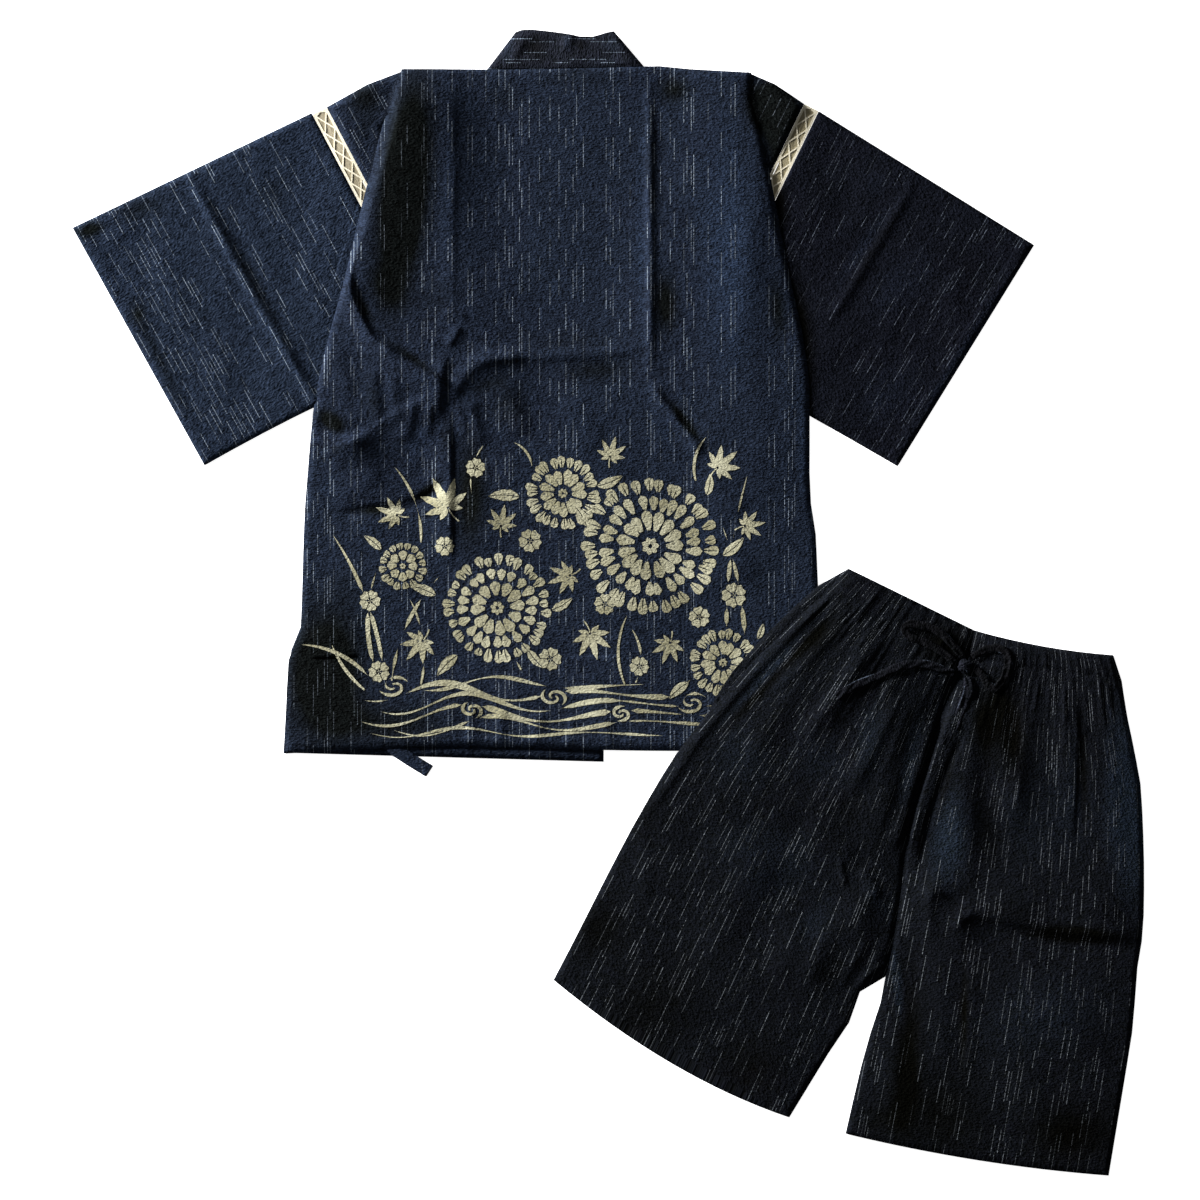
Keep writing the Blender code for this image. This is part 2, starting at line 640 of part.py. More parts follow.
def makeLace(side, lift, name, material):
    """A straight strip of lattice tape: two woven bands and crossing threads between them."""
    (sx, sy), (ex, ey) = PLEAT[side]["seam"]
    length = math.dist((sx, sy), (ex, ey))
    ax, ay = (ex - sx) / length, (ey - sy) / length
    outward = 1 if side == "left" else -1
    nx, ny = outward * ay, -outward * ax
    repeats = int(length / LACE_REPEAT)
    step = length / repeats
    wall = Wall()
    inner, outer = GAP + LACE_BAND, LACE_WIDTH - GAP - LACE_BAND
    middle = LACE_WIDTH / 2
    slant = math.atan2(outer - inner, step)
    foot = LACE_THREAD / 2 / math.sin(slant)
    tip = LACE_THREAD / 2 / math.cos(slant)

    def put(s, t):
        point = (sx + ax * s + nx * t, sy + ay * s + ny * t)
        return wall.level(point, sleeveLow(*point, side) + lift)

    def node(s):
        """The points where two threads meet both bands."""
        return {
            "rim": (put(s, GAP), put(s, LACE_WIDTH - GAP)),
            "before": (put(s - foot, inner), put(s - foot, outer)),
            "after": (put(s + foot, inner), put(s + foot, outer)),
            "tip": (put(s, inner + tip), put(s, outer - tip)),
        }

    margin = LACE_THREAD + foot + LACE_THREAD / 2
    places = [margin + (length - 2 * margin) * i / repeats for i in range(repeats + 1)]
    nodes = [node(s) for s in places]
    for b in (0, 1):
        for n in nodes:
            wall.cells.append((n["rim"][b], n["before"][b], n["after"][b]))
            wall.cells.append((n["before"][b], n["tip"][b], n["after"][b]))
        for n, m in zip(nodes, nodes[1:]):
            wall.cells.append((n["rim"][b], n["after"][b], m["before"][b], m["rim"][b]))
    for rimAt, barAt, key, n in (
        (0.0, LACE_THREAD, "before", nodes[0]),
        (length, length - LACE_THREAD, "after", nodes[-1]),
    ):
        rim = [put(rimAt, t) for t in (GAP, inner, middle, outer, LACE_WIDTH - GAP)]
        bar = [put(barAt, t) for t in (GAP, inner, middle, outer, LACE_WIDTH - GAP)]
        wall.join(rim, bar)
        for edge, corner, b in ((bar[0], bar[1], 0), (bar[4], bar[3], 1)):
            wall.cells.append((edge, corner, n[key][b], n["rim"][b]))
            wall.cells.append((corner, bar[2], n["tip"][b], n[key][b]))
    for n, m, before, after in zip(nodes, nodes[1:], places, places[1:]):
        s = (before + after) / 2
        start, end = put(s - foot, middle), put(s + foot, middle)
        low, high = put(s, middle - tip), put(s, middle + tip)
        wall.cells.append((start, low, end, high))
        wall.cells.append((n["tip"][0], n["after"][0], low, start))
        wall.cells.append((n["tip"][1], start, high, n["after"][1]))
        wall.cells.append((m["tip"][0], end, low, m["before"][0]))
        wall.cells.append((m["tip"][1], m["before"][1], high, end))
    return wall.build(name, material)


def makeCollar(material):
    """One long band: up the outer front, folded at the neck, across it, and down the inner front."""
    wall = Wall()
    topEdge = through(COLLAR_TOP)
    leftTop, rightTop = COLLAR_TOP[0], COLLAR_TOP[-1]

    def lappet(neck, top, kind, side, share):
        end = (FRONT_EDGE_X[kind], bodyEdge(side, NECK_SEAM_END)[1])
        edgeEnd = (FRONT_EDGE_X[kind], COLLAR_END_Y[kind])
        seam, edge = mix(neck, end, share), mix(top, edgeEnd, share)
        points = [mix(seam, edge, w) for w in COLLAR_WIDTHS]
        return [wall.turned(p, frontLow(p[0], side)) for p in points]

    def standing(share):
        x = NECK_LEFT[0] + (NECK_RIGHT[0] - NECK_LEFT[0]) * share
        seam = (x, backTopY(x) + GAP)
        tx = leftTop[0] + (rightTop[0] - leftTop[0]) * share
        edge = (tx, topEdge(tx))
        ids = []
        for w in COLLAR_WIDTHS:
            px, py = mix(seam, edge, w)
            off = (px - COLLAR_RIDGE["x"]) / COLLAR_RIDGE["width"]
            ridge = COLLAR_RIDGE["height"] * math.exp(-off * off) * w
            ids.append(wall.level((px, py), backBase(px, SHOULDER_Y) + ridge))
        return ids

    def foldRow(neck, top, side, inwardPoint):
        ids = []
        for w in COLLAR_WIDTHS:
            edge = mix(neck, top, w)
            upper, lower = backBase(edge[0], SHOULDER_Y), frontLow(edge[0], side)
            ids.append(wall.fold(edge, (edge[0] + inwardPoint, edge[1]), upper, lower))
        return ids

    neckLeft = (NECK_LEFT[0], NECK_LEFT[1] + GAP)
    neckRight = (NECK_RIGHT[0], NECK_RIGHT[1] + GAP)
    down = shares(0.0, 1.0, COLLAR_ROWS["lappet"])[1:]
    start = FOLD_ROUND / (NECK_RIGHT[0] - NECK_LEFT[0])
    rows = [lappet(neckLeft, leftTop, "outer", "left", s) for s in [*down[::-1], LAPPET_START]]
    rows.append(foldRow(neckLeft, leftTop, "left", 1.0))
    middle = shares(0.0, 1.0, COLLAR_ROWS["standing"])[1:-1]
    rows += [standing(s) for s in [start, *middle, 1 - start]]
    rows.append(foldRow(neckRight, rightTop, "right", -1.0))
    rows += [lappet(neckRight, rightTop, "inner", "right", s) for s in [LAPPET_START, *down]]
    for above, below in zip(rows, rows[1:]):
        wall.join(above, below)
    return wall.build("jacket_collar", material)


# ---- straps ----

def strapStations(route, length, step):
    """Points and directions about every step along a route, cut off at a length if one is given."""
    look = 0.002  # share of the route between a point and where its direction is taken
    path = along(route)
    full = sum(math.dist(a, b) for a, b in zip(route, route[1:]))
    share = min(1.0, length / full) if length else 1.0
    count = max(2, round(full * share / step))
    stations = []
    for s in shares(0.0, share, count):
        ahead, behind = path(min(1.0, s + look)), path(max(0.0, s - look))
        run = math.dist(ahead, behind)
        stations.append((path(s), ((ahead[0] - behind[0]) / run, (ahead[1] - behind[1]) / run)))
    return stations


def makeTie(name, material):
    wall = Wall()
    previous = None
    for (x, y), (dx, dy) in strapStations(TIE_ROUTE[name], TIE_LENGTH, TIE_STEP):
        row = []
        for across in (-TIE_WIDTH / 2, TIE_WIDTH / 2):
            px, py = x - dy * across, y + dx * across
            row.append(wall.level((px, py), TIE_LAYER[name] * PITCH))
        if previous:
            wall.join(previous, row)
        previous = row
    return wall.build(name, material)


class Ground:
    """What a strap of the bow lies on: the height of the pieces placed so far."""

    def __init__(self):
        self.trees = []

    def add(self, item):
        mesh = item.data
        points = [v.co / MM for v in mesh.vertices]
        self.trees.append(BVHTree.FromPolygons(points, [tuple(p.vertices) for p in mesh.polygons]))

    def height(self, x, y):
        cx, cy = SHEET_CENTRE
        best = 0.0
        for tree in self.trees:
            hit = tree.ray_cast(Vector((x - cx, y - cy, ABOVE_ALL)), Vector((0, 0, -1)))
            if hit[0] is not None:
                best = max(best, hit[0].z)
        return best


def makeStrand(name, ground, material):
    """A flat strand of the drawstring, lying on what is under it."""
    wall = Wall()
    half = CORD_WIDTH / 2
    stations = strapStations(CORD_ROUTE[name], None, CORD_STEP)
    probes = []
    for (x, y), (dx, dy) in stations:
        probes.append(max(
            ground.height(x - dy * half * a + dx * b, y + dx * half * a + dy * b)
            for a in PROBES_ACROSS for b in PROBES_ALONG
        ))
    previous = None
    for i, ((x, y), (dx, dy)) in enumerate(stations):
        low = max(probes[max(0, i - 1):i + 2]) + STRAND_GAP
        row = [wall.level((x - dy * a, y + dx * a), low, CORD_THICK) for a in (-half, half)]
        if previous:
            wall.join(previous, row)
        previous = row
    return wall.build(name, material)


def makeKnot(ground, material):
    """A squashed ball just above the cloth."""
    shape = bmesh.new()
    bmesh.ops.create_icosphere(shape, subdivisions=2, radius=0.5)
    x, y = KNOT_AT
    halfX, halfY, halfZ = (size / 2 for size in KNOT_SIZE)
    middle = 0.0
    for ring in (0.0, 0.25, 0.5, 0.75, 0.9, 1.0, 1.1):
        for turn in shares(0.0, 2 * math.pi, 24):
            ax, ay = ring * math.cos(turn), ring * math.sin(turn)
            cloth = ground.height(x + halfX * ax, y + halfY * ay)
            belly = halfZ * math.sqrt(max(0.0, 1 - ring * ring))
            middle = max(middle, cloth + GAP + belly)
    cx, cy = SHEET_CENTRE
    centre = Vector((x - cx, y - cy, middle))
    points = [(Vector([c * s for c, s in zip(v.co, KNOT_SIZE)]) + centre) * MM for v in shape.verts]
    faces = [tuple(v.index for v in f.verts) for f in shape.faces]
    shape.free()
    return solid("drawstring_knot", points, faces, material)


# ---- shorts ----

def shortsBase(x, y):
    """Underside of the shorts' backs: over the jacket's corner, then down to the floor."""
    cornerX, cornerY = JACKET_CORNER
    overX = falloff(x - cornerX, LIFT_MARGIN, LIFT_RAMP)
    overY = falloff(cornerY - y, LIFT_MARGIN, LIFT_RAMP)
    return LIFT * overX * overY


def legPoint(side, u, v, back):
    """A point of a leg panel: u from the side seam to the middle, v from the waist to the hem."""
    leg = LEG[side]
    outer = legCurves[side]["side"](v)
    if v <= CROTCH:
        inner = centreCurve(v / CROTCH)
    else:
        inner = legCurves[side]["inseam"]((v - CROTCH) / (1 - CROTCH))
    apart = -GAP / 2 if side == "left" else GAP / 2
    inner = (inner[0] + apart, inner[1])
    if back and side == "left":
        full, last, fade = PEEK_ROWS
        show = ease(v / full) * falloff(v, last, fade)
        outer = (outer[0] + show * BACK_PEEK[0], outer[1] + show * BACK_PEEK[1])
    x, y = mix(outer, inner, u)
    bow = leg["waist_bow"] * clamp(1 - v / WAIST_BOW_ROWS)
    bow += leg["hem_bow"] * ease((v - WAIST_BOW_ROWS) / (1 - WAIST_BOW_ROWS))
    return (x, y + 4 * bow * u * (1 - u))


def gatherHeight(u, amplitude):
    """Ripples of the elastic; their height is uneven along the waist."""
    uneven = 0.8 + 0.2 * math.cos(7.3 * u + 1.1)
    return amplitude * uneven * (0.5 + 0.5 * math.sin(2 * math.pi * GATHERS * u))


def makeLegFront(side, material):
    wall = Wall()
    rows = GATHER_ROWS + tuple((v, LEG_COLUMNS, 0.0) for v in LEG_ROWS)
    previous = None
    for v, count, amplitude in rows:
        row = []
        for u in shares(0.0, 1.0, count - 1):
            x, y = legPoint(side, u, v, False)
            free = inside(u, 1 / 6) * ease(9 * (1 - v)) * ease(6 * v)  # 0 at the seams and hems
            relief = max(0.0, (PUFF + foldHeight(x, y, SHORTS_FOLDS)) * free)
            relief += gatherHeight(u, amplitude) * inside(u, 1 / 12)
            thick = WALL * (2 if v <= CASING else 1)
            row.append(wall.level((x, y), shortsBase(x, y) + PITCH + relief, thick))
        if previous:
            wall.join(previous, row)
        previous = row
    return wall.build(f"shorts_front_{side}", material)


def makeLegBack(side, material):
    wall = Wall()
    previous = None
    for v in LEG_BACK_ROWS:
        points = [legPoint(side, u, v, True) for u in shares(0.0, 1.0, LEG_BACK_COLUMNS - 1)]
        row = [wall.level(p, shortsBase(*p)) for p in points]
        if previous:
            wall.join(previous, row)
        previous = row
    return wall.build(f"shorts_back_{side}", material)


centreCurve = along(CENTRE_SEAM)
legCurves = {side: {k: along(LEG[side][k]) for k in ("side", "inseam")} for side in LEG}


def main():
    clearScene()
    navy = cloth("navy_cotton", NAVY)
    deepNavy = cloth("deep_navy_cotton", DEEP_NAVY)
    cream = cloth("cream_lace", CREAM)
    makeFront("outer", "left", OUTER_HEM, navy)
    makeFront("inner", "right", INNER_HEM, navy)
    makeBack(navy)
    makeCollar(navy)
    for side in SLEEVE:
        makeSleeve(side, navy)
        makeLace(side, PITCH, f"lace_back_{side}", cream)
        makeLace(side, 0.0, f"lace_front_{side}", cream)
    for name in TIE_ROUTE:
        makeTie(name, navy)
    ground = Ground()
    for side in LEG:
        makeLegBack(side, deepNavy)
        ground.add(makeLegFront(side, deepNavy))
    for name in CORD_ROUTE:
        ground.add(makeStrand(name, ground, deepNavy))
    makeKnot(ground, deepNavy)


main()
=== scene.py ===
# A jinbei set laid out flat: a wrap jacket seen from the back and drawstring shorts over its corner.
# Lengths are in millimetres on the sheet, x to the right and y towards the collar, unless named metres.
import math
import random

import bmesh
import bpy
import numpy as np
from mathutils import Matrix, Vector
from mathutils.bvhtree import BVHTree
from mathutils.kdtree import KDTree


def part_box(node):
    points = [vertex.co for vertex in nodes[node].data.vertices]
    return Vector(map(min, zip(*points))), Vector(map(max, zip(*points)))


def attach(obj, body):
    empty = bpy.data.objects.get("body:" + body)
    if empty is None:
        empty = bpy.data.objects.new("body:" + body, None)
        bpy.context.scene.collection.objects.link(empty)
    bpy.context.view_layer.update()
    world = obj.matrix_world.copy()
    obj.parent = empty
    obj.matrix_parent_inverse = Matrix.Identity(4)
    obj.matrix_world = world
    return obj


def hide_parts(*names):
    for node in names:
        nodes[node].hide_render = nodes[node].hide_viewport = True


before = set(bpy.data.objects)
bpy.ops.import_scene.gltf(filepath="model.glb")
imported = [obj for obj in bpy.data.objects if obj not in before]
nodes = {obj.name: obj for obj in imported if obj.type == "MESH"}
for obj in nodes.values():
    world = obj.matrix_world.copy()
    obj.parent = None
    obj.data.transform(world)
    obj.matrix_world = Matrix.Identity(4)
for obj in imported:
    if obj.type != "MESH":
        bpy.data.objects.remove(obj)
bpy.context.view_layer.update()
mm = 0.001
up = Vector((0, 0, 1))
print("frame loaded:", len(nodes), "nodes")


# camera, floor and lights

view = {
    "width": 1320.0,  # of sheet that the picture spans
    "centre": (-9.15, 2.75),
    "height": 6.0,  # metres, a long lens so that edges stay upright
    "sensor": 36.0,
    "farthest": 40.0,
}


def addItem(name, data):
    item = bpy.data.objects.new(name, data)
    bpy.context.scene.collection.objects.link(item)
    return item


def makeCamera():
    data = bpy.data.cameras.new("overhead")
    data.sensor_width = view["sensor"]
    data.lens = view["sensor"] * view["height"] / (view["width"] * mm)
    data.clip_end = view["farthest"]
    item = addItem("overhead", data)
    item.location = (view["centre"][0] * mm, view["centre"][1] * mm, view["height"])
    bpy.context.scene.camera = item


lights = (  # name, place in metres, aim, size in metres, watts, colour
    ("window", (-8.0, 4.1, 2.05), (0.0, 0.0, 0.0), 2.5, 6300.0, "#fbfcff"),
    ("ceiling", (0.3, -0.2, 3.4), (0.1, 0.0, 0.0), 3.0, 14.0, "#ffffff"),
)
sky = {"colour": "#eef1f6", "strength": 0.07}


def linear(colour):
    channels = [int(colour[i:i + 2], 16) / 255 for i in (1, 3, 5)]
    return [c / 12.92 if c <= 0.04045 else ((c + 0.055) / 1.055) ** 2.4 for c in channels]


def opaque(colour):
    return (*linear(colour), 1)


def makeLights():
    for name, place, aim, size, watts, colour in lights:
        data = bpy.data.lights.new(name, "AREA")
        data.shape = "SQUARE"
        data.size = size
        data.energy = watts
        data.color = linear(colour)
        item = addItem(name, data)
        item.location = place
        item.rotation_euler = (Vector(aim) - Vector(place)).to_track_quat("-Z", "Y").to_euler()
    world = bpy.data.worlds.new("studio")
    world.use_nodes = True
    backdrop = world.node_tree.nodes["Background"]
    backdrop.inputs["Color"].default_value = opaque(sky["colour"])
    backdrop.inputs["Strength"].default_value = sky["strength"]
    bpy.context.scene.world = world
    bpy.context.scene.view_settings.view_transform = "Standard"


# node trees

def addNode(material, kind, inputs, out=0, **settings):
    item = material.node_tree.nodes.new(kind)
    for key, value in settings.items():
        setattr(item, key, value)
    for key, value in inputs.items():
        if isinstance(value, bpy.types.NodeSocket):
            material.node_tree.links.new(value, item.inputs[key])
        else:
            item.inputs[key].default_value = value
    return item.outputs[out] if item.outputs else item


def newMaterial(name):
    material = bpy.data.materials.new(name)
    material.use_nodes = True
    material.node_tree.nodes.clear()
    return material


def finishMaterial(material, shader, settings):
    for key, value in settings.items():
        shader.node.inputs[key].default_value = value
    addNode(material, "ShaderNodeOutputMaterial", {"Surface": shader})
    return material


def calc(m, operation, *values):
    return addNode(m, "ShaderNodeMath", dict(enumerate(values)), operation=operation)


def remap(m, value, fromLow=0.0, fromHigh=1.0, toLow=0.0, toHigh=1.0):
    return addNode(m, "ShaderNodeMapRange", {"Value": value, 1: fromLow, 2: fromHigh, 3: toLow, 4: toHigh})


def mixColour(m, factor, first, second, **settings):
    ends = {"Factor": factor, 6: first, 7: second}
    return addNode(m, "ShaderNodeMix", ends, out=2, data_type="RGBA", **settings)


def stretch(m, vector, factors):
    return addNode(m, "ShaderNodeVectorMath", {0: vector, 1: factors}, operation="MULTIPLY")


def noise(m, vector, scale, detail, **settings):
    return addNode(m, "ShaderNodeTexNoise", {"Vector": vector, "Scale": scale, "Detail": detail}, **settings)


def bumped(m, colour, height, strength, depth):
    bump = addNode(m, "ShaderNodeBump", {"Height": height, "Strength": strength, "Distance": depth * mm})
    return addNode(m, "ShaderNodeBsdfPrincipled", {"Base Color": colour, "Normal": bump})


floor = {"half": 6.0, "drop": 0.4, "colour": "#f4f4f3", "glow": 0.9, "speckle": 900.0}  # half width in metres


def makeFloorMaterial():
    m = newMaterial("backlit_white_acrylic")  # cast opal sheet over lamps: even, and its shadows stay pale
    speckle = addNode(m, "ShaderNodeTexNoise", {"Scale": floor["speckle"], "Detail": 2.0}, out="Fac")
    return finishMaterial(m, bumped(m, opaque(floor["colour"]), speckle, 0.05, 0.5), {
        "Roughness": 0.7, "Emission Color": opaque("#ffffff"), "Emission Strength": floor["glow"]})


def makeFloor():
    half, z = floor["half"], -floor["drop"] * mm
    mesh = bpy.data.meshes.new("floor")
    corners = [(a * half, b * half, z) for a, b in ((-1, -1), (1, -1), (1, 1), (-1, 1))]
    mesh.from_pydata(corners, [], [(0, 1, 2, 3)])
    mesh.materials.append(makeFloorMaterial())
    addItem("floor", mesh)


makeCamera()
makeLights()
makeFloor()
print("camera, lights and floor made")


# kasuri shijira cotton: warp threads tied before dyeing leave pale dashes, and tight threads
# among slack ones pucker it, so the eye sees crosswise grains and thin broken lines

cottonKinds = {  # cloth in the pucker hollows and on the crests (painted shade and painted highlight), tied threads and how many carry them
    "jacket": {"cloth": "#0e1117", "crest": "#1f2633", "dash": "#6c747c", "crowd": (0.24, 0.62), "seed": 3},
    "sleeve": {"cloth": "#0b0f15", "crest": "#222a38", "dash": "#6c747c", "crowd": (0.24, 0.62), "seed": 17},
    # the jacket's cloth made darker for the right sleeve: painted shade
    "paintedShadeSleeve": {"cloth": "#08090c", "crest": "#13151c", "dash": "#474c54", "crowd": (0.22, 0.56), "seed": 29},
    "shorts": {"cloth": "#080909", "crest": "#111318", "dash": "#595d60", "crowd": (0.30, 0.66), "seed": 41},
    "cord": {"cloth": "#0a0c0e", "crest": "#1a1b22", "dash": "#444c57", "crowd": (0.10, 0.30), "seed": 67},
    "collar": {"cloth": "#0e1012", "crest": "#1e2028", "dash": "#68737f", "crowd": (0.20, 0.80), "seed": 59},
}
weave = {
    "threadPitch": 3.7,  # between the warp threads that may carry dashes
    "threadWidth": 0.58,
    "cluster": 30.0,  # size of the groups they come in
    "groups": (0.34, 0.66),  # noise from the barest to the fullest group
    "place": (0.3, 0.7),  # of the dash across its thread
    "period": (50.0, 88.0),  # one dash and the plain stretch after it
    "dash": (0.26, 0.62),  # share of the period
    "bright": (0.35, 1.0),
    "dotted": (0.4, 0.55, 0.15),  # puckers that hide it, ones that show it, and what is left when hidden
    "grain": (3.4, 1.9),  # across and along the warp, in pairs of puckers
    "swell": (11.0, 7.0),
    "grainDepth": 1.6,
    "tone": (0.5, 1.02),  # relief from the darkest cloth to the palest: painted shade in the pucker hollows, painted highlight on their crests
    "deep": (0.38, 0.33, 0.19),  # what painted shade does to its colour
    "worn": (1.5, 1.72, 1.9),  # and painted light
    "sunk": 0.4,  # strength of the dashes under full painted shade
    "sheen": 0.005,
}


def grainOf(m):
    return stretch(m, addNode(m, "ShaderNodeUVMap", {}, uv_map="grain"), (1000, 1000, 1000))  # in millimetres


def crinkle(m, inMm):
    # puckers: short grains across the warp over a slower swell
    fine = stretch(m, inMm, (1 / weave["grain"][0], 1 / weave["grain"][1], 1))
    grains = addNode(m, "ShaderNodeTexNoise",
                     {"Vector": fine, "Scale": 1.0, "Detail": 1.6, "Roughness": 0.5, "Distortion": 0.35},
                     noise_dimensions="2D")
    slow = stretch(m, inMm, (1 / weave["swell"][0], 1 / weave["swell"][1], 1))
    swell = noise(m, slow, 1.0, 2.0, noise_dimensions="2D")
    return calc(m, "MULTIPLY_ADD", swell, 0.5, grains), grains


def luckOf(m, *numbers):
    # three even random numbers that depend only on the numbers given
    seed = addNode(m, "ShaderNodeCombineXYZ", dict(zip("XYZ", numbers)))
    chance = addNode(m, "ShaderNodeTexWhiteNoise", {"Vector": seed}, out="Color")
    first = addNode(m, "ShaderNodeSeparateColor", {0: chance}, out="Red")
    return first, first.node.outputs["Green"], first.node.outputs["Blue"]


def makeCotton(kind):
    look = cottonKinds[kind]
    m = newMaterial(f"kasuri_shijira_cotton_{kind}")
    inMm = grainOf(m)
    u = addNode(m, "ShaderNodeSeparateXYZ", {0: inMm}, out="X")
    v = u.node.outputs["Y"]
    # which thread this is, and whether it carries dashes
    threads = calc(m, "DIVIDE", u, weave["threadPitch"])
    thread, across = calc(m, "FLOOR", threads), calc(m, "FRACT", threads)
    luck, offset, phase = luckOf(m, thread, look["seed"])
    spread = calc(m, "DIVIDE", u, weave["cluster"])
    group = addNode(m, "ShaderNodeTexNoise", {"W": spread, "Scale": 1.0, "Detail": 1.0}, noise_dimensions="1D")
    carries = calc(m, "LESS_THAN", luck, remap(m, group, *weave["groups"], *look["crowd"]))
    centre = remap(m, offset, 0.0, 1.0, *weave["place"])
    line = calc(m, "COMPARE", across, centre, weave["threadWidth"] / 2 / weave["threadPitch"])
    # dashes along it
    speedId = addNode(m, "ShaderNodeCombineXYZ", {"X": thread, "Y": look["seed"] + 1.5})
    speed = addNode(m, "ShaderNodeTexWhiteNoise", {"Vector": speedId}, out="Value")
    turns = calc(m, "DIVIDE", v, remap(m, speed, 0.0, 1.0, *weave["period"]))
    shifted = calc(m, "MULTIPLY_ADD", phase, 9.0, turns)
    size, broken, bright = luckOf(m, thread, calc(m, "FLOOR", shifted), look["seed"])
    share = remap(m, size, 0.0, 1.0, weave["dash"][0] / 2, weave["dash"][1] / 2)
    on = calc(m, "COMPARE", calc(m, "FRACT", shifted), 0.4, share)
    level = remap(m, bright, 0.0, 1.0, *weave["bright"])
    relief, grains = crinkle(m, inMm)
    dotted = calc(m, "MAXIMUM", remap(m, grains, *weave["dotted"]), broken)
    strength = calc(m, "MULTIPLY", line, carries)
    for factor in (on, level, dotted):
        strength = calc(m, "MULTIPLY", strength, factor)
    # pucker hollows darker and crests paler by their relief: painted shade and painted highlight
    cloth = mixColour(m, remap(m, relief, *weave["tone"]), opaque(look["cloth"]), opaque(look["crest"]))
    # painted light and shade from the per-vertex attribute: above nought it darkens and greys the cloth and
    # dims the dashes as painted shade, below nought it brightens and blues it as painted light
    paintedShading = addNode(m, "ShaderNodeAttribute", {}, out="Fac", attribute_name="paintedShading")
    paintedLightShare = calc(m, "MAXIMUM", calc(m, "MULTIPLY", paintedShading, -1.0), 0.0)
    deep = mixColour(m, paintedShading, (1, 1, 1, 1), (*weave["deep"], 1))
    paintedShadingTint = mixColour(m, paintedLightShare, deep, (*weave["worn"], 1), clamp_factor=False)
    strength = calc(m, "MULTIPLY", strength, remap(m, paintedShading, 0.0, 1.0, 1.0, weave["sunk"]))
    colour = mixColour(m, strength, stretch(m, cloth, paintedShadingTint), opaque(look["dash"]))
    return finishMaterial(m, bumped(m, colour, relief, 1.0, weave["grainDepth"]), {
        "Roughness": 0.7, "IOR": 1.5, "Specular IOR Level": 0.0,
        "Sheen Weight": weave["sheen"], "Sheen Roughness": 0.45, "Sheen Tint": opaque("#aebbdc")})


cottons = {kind: makeCotton(kind) for kind in cottonKinds if kind != "cord"}
print("cotton materials made")


# drawstring: a flat tube of the shorts' cloth in a bow, crumpled by the knot

bow = {
    "width": 9.0,
    "thick": 1.2,
    "step": 1.3,  # between its cross-sections
    "rest": 1.9,  # how far the cloth under it is lofted
    # painted shade on each strand and on the knot, darkest on the loops
    "strandPaintedShade": {"drawstring_loop_left": 0.7, "drawstring_loop_right": 0.7, "drawstring_tail_left": 0.45,
            "drawstring_tail_down": 0.3, "drawstring_knot": 0.2},
    "routes": {
        "drawstring_loop_left": (
            (389, -59), (379, -48), (369, -37), (357, -29), (343, -25), (331, -23.5), (325, -29),
            (330, -37), (343, -42.5), (356, -48), (369, -56), (381, -66)),
        "drawstring_loop_right": (
            (399.5, -60), (408, -55), (418, -51), (428, -50), (436, -54), (439, -63), (437, -75),
            (432, -87), (425, -94), (418, -91), (412, -82), (404, -73)),
        "drawstring_tail_left": (
            (380, -78), (370, -75), (359, -70.5), (348, -67.5), (336, -68), (324, -69.5), (312, -73),
            (300, -79), (289, -84), (278, -88), (267, -93), (258, -98), (250, -103)),
        "drawstring_tail_down": (
            (394, -82), (395.5, -90), (394.5, -99), (391, -109), (387, -119), (383, -130), (379, -140),
            (374, -149), (369, -157)),
    },
    "spread": {  # width there as a share of the cord's, from the knot outwards
        "drawstring_loop_left": (0.8, 1.0, 1.05, 0.85, 1.0, 0.8),
        "drawstring_loop_right": (0.8, 1.0, 1.0, 0.85, 1.05, 0.8),
        "drawstring_tail_left": (0.8, 1.0, 1.1, 0.9, 1.1, 0.95),
        "drawstring_tail_down": (0.95, 1.3, 1.25, 1.0, 0.85, 0.8),
    },
    "knot": {"at": (392.0, -70.0), "size": (17.0, 15.0), "lean": -62.0, "rows": 44, "around": 40},
    "section": (  # across and up, in half widths and thicknesses, round one cross-section
        (-1.0, -0.5), (-0.93, 0.0), (-0.62, 0.28), (-0.3, 0.1), (0.0, 0.0), (0.3, 0.1), (0.62, 0.3),
        (0.93, 0.0), (1.0, -0.5), (0.8, -1.0), (0.3, -1.0), (-0.3, -1.0), (-0.8, -1.0)),
}


def smoothRoute(points, step):
    points = np.array(points, float)
    ends = np.vstack([2 * points[0] - points[1], points, 2 * points[-1] - points[-2]])
    fine = []
    for a, b, c, d in zip(ends, ends[1:], ends[2:], ends[3:]):
        t = np.linspace(0, 1, 13)[:-1, None]
        bend, twist = 2 * a - 5 * b + 4 * c - d, 3 * b - a - 3 * c + d
        fine.append(0.5 * (2 * b + (c - a) * t + bend * t**2 + twist * t**3))
    fine = np.vstack(fine + [points[-1:]])
    reach = np.concatenate([[0], np.cumsum(np.hypot(*np.diff(fine, axis=0).T))])
    at = np.linspace(0, reach[-1], max(2, round(reach[-1] / step)) + 1)
    return np.stack([np.interp(at, reach, fine[:, k]) for k in (0, 1)], 1), at


def waves(seed, lengths, height):
    rng = random.Random(seed)
    turn = math.tau
    parts = [(rng.uniform(0, turn), rng.uniform(0, turn), rng.uniform(0.8, 1.25) * n, rng.uniform(0.6, 1))
             for n in lengths]

    def at(x, y=0.0):
        return height * sum(k * np.sin((x * math.cos(a) + y * math.sin(a)) * turn / n + p)
                            for a, p, n, k in parts)
    return at


def topOf(item):
    tree = BVHTree.FromPolygons([v.co for v in item.data.vertices], [p.vertices[:] for p in item.data.polygons])

    def height(x, y):
        hit = tree.ray_cast(Vector((x * mm, y * mm, 1)), -up)[0]
        return None if hit is None else hit.z / mm
    return height


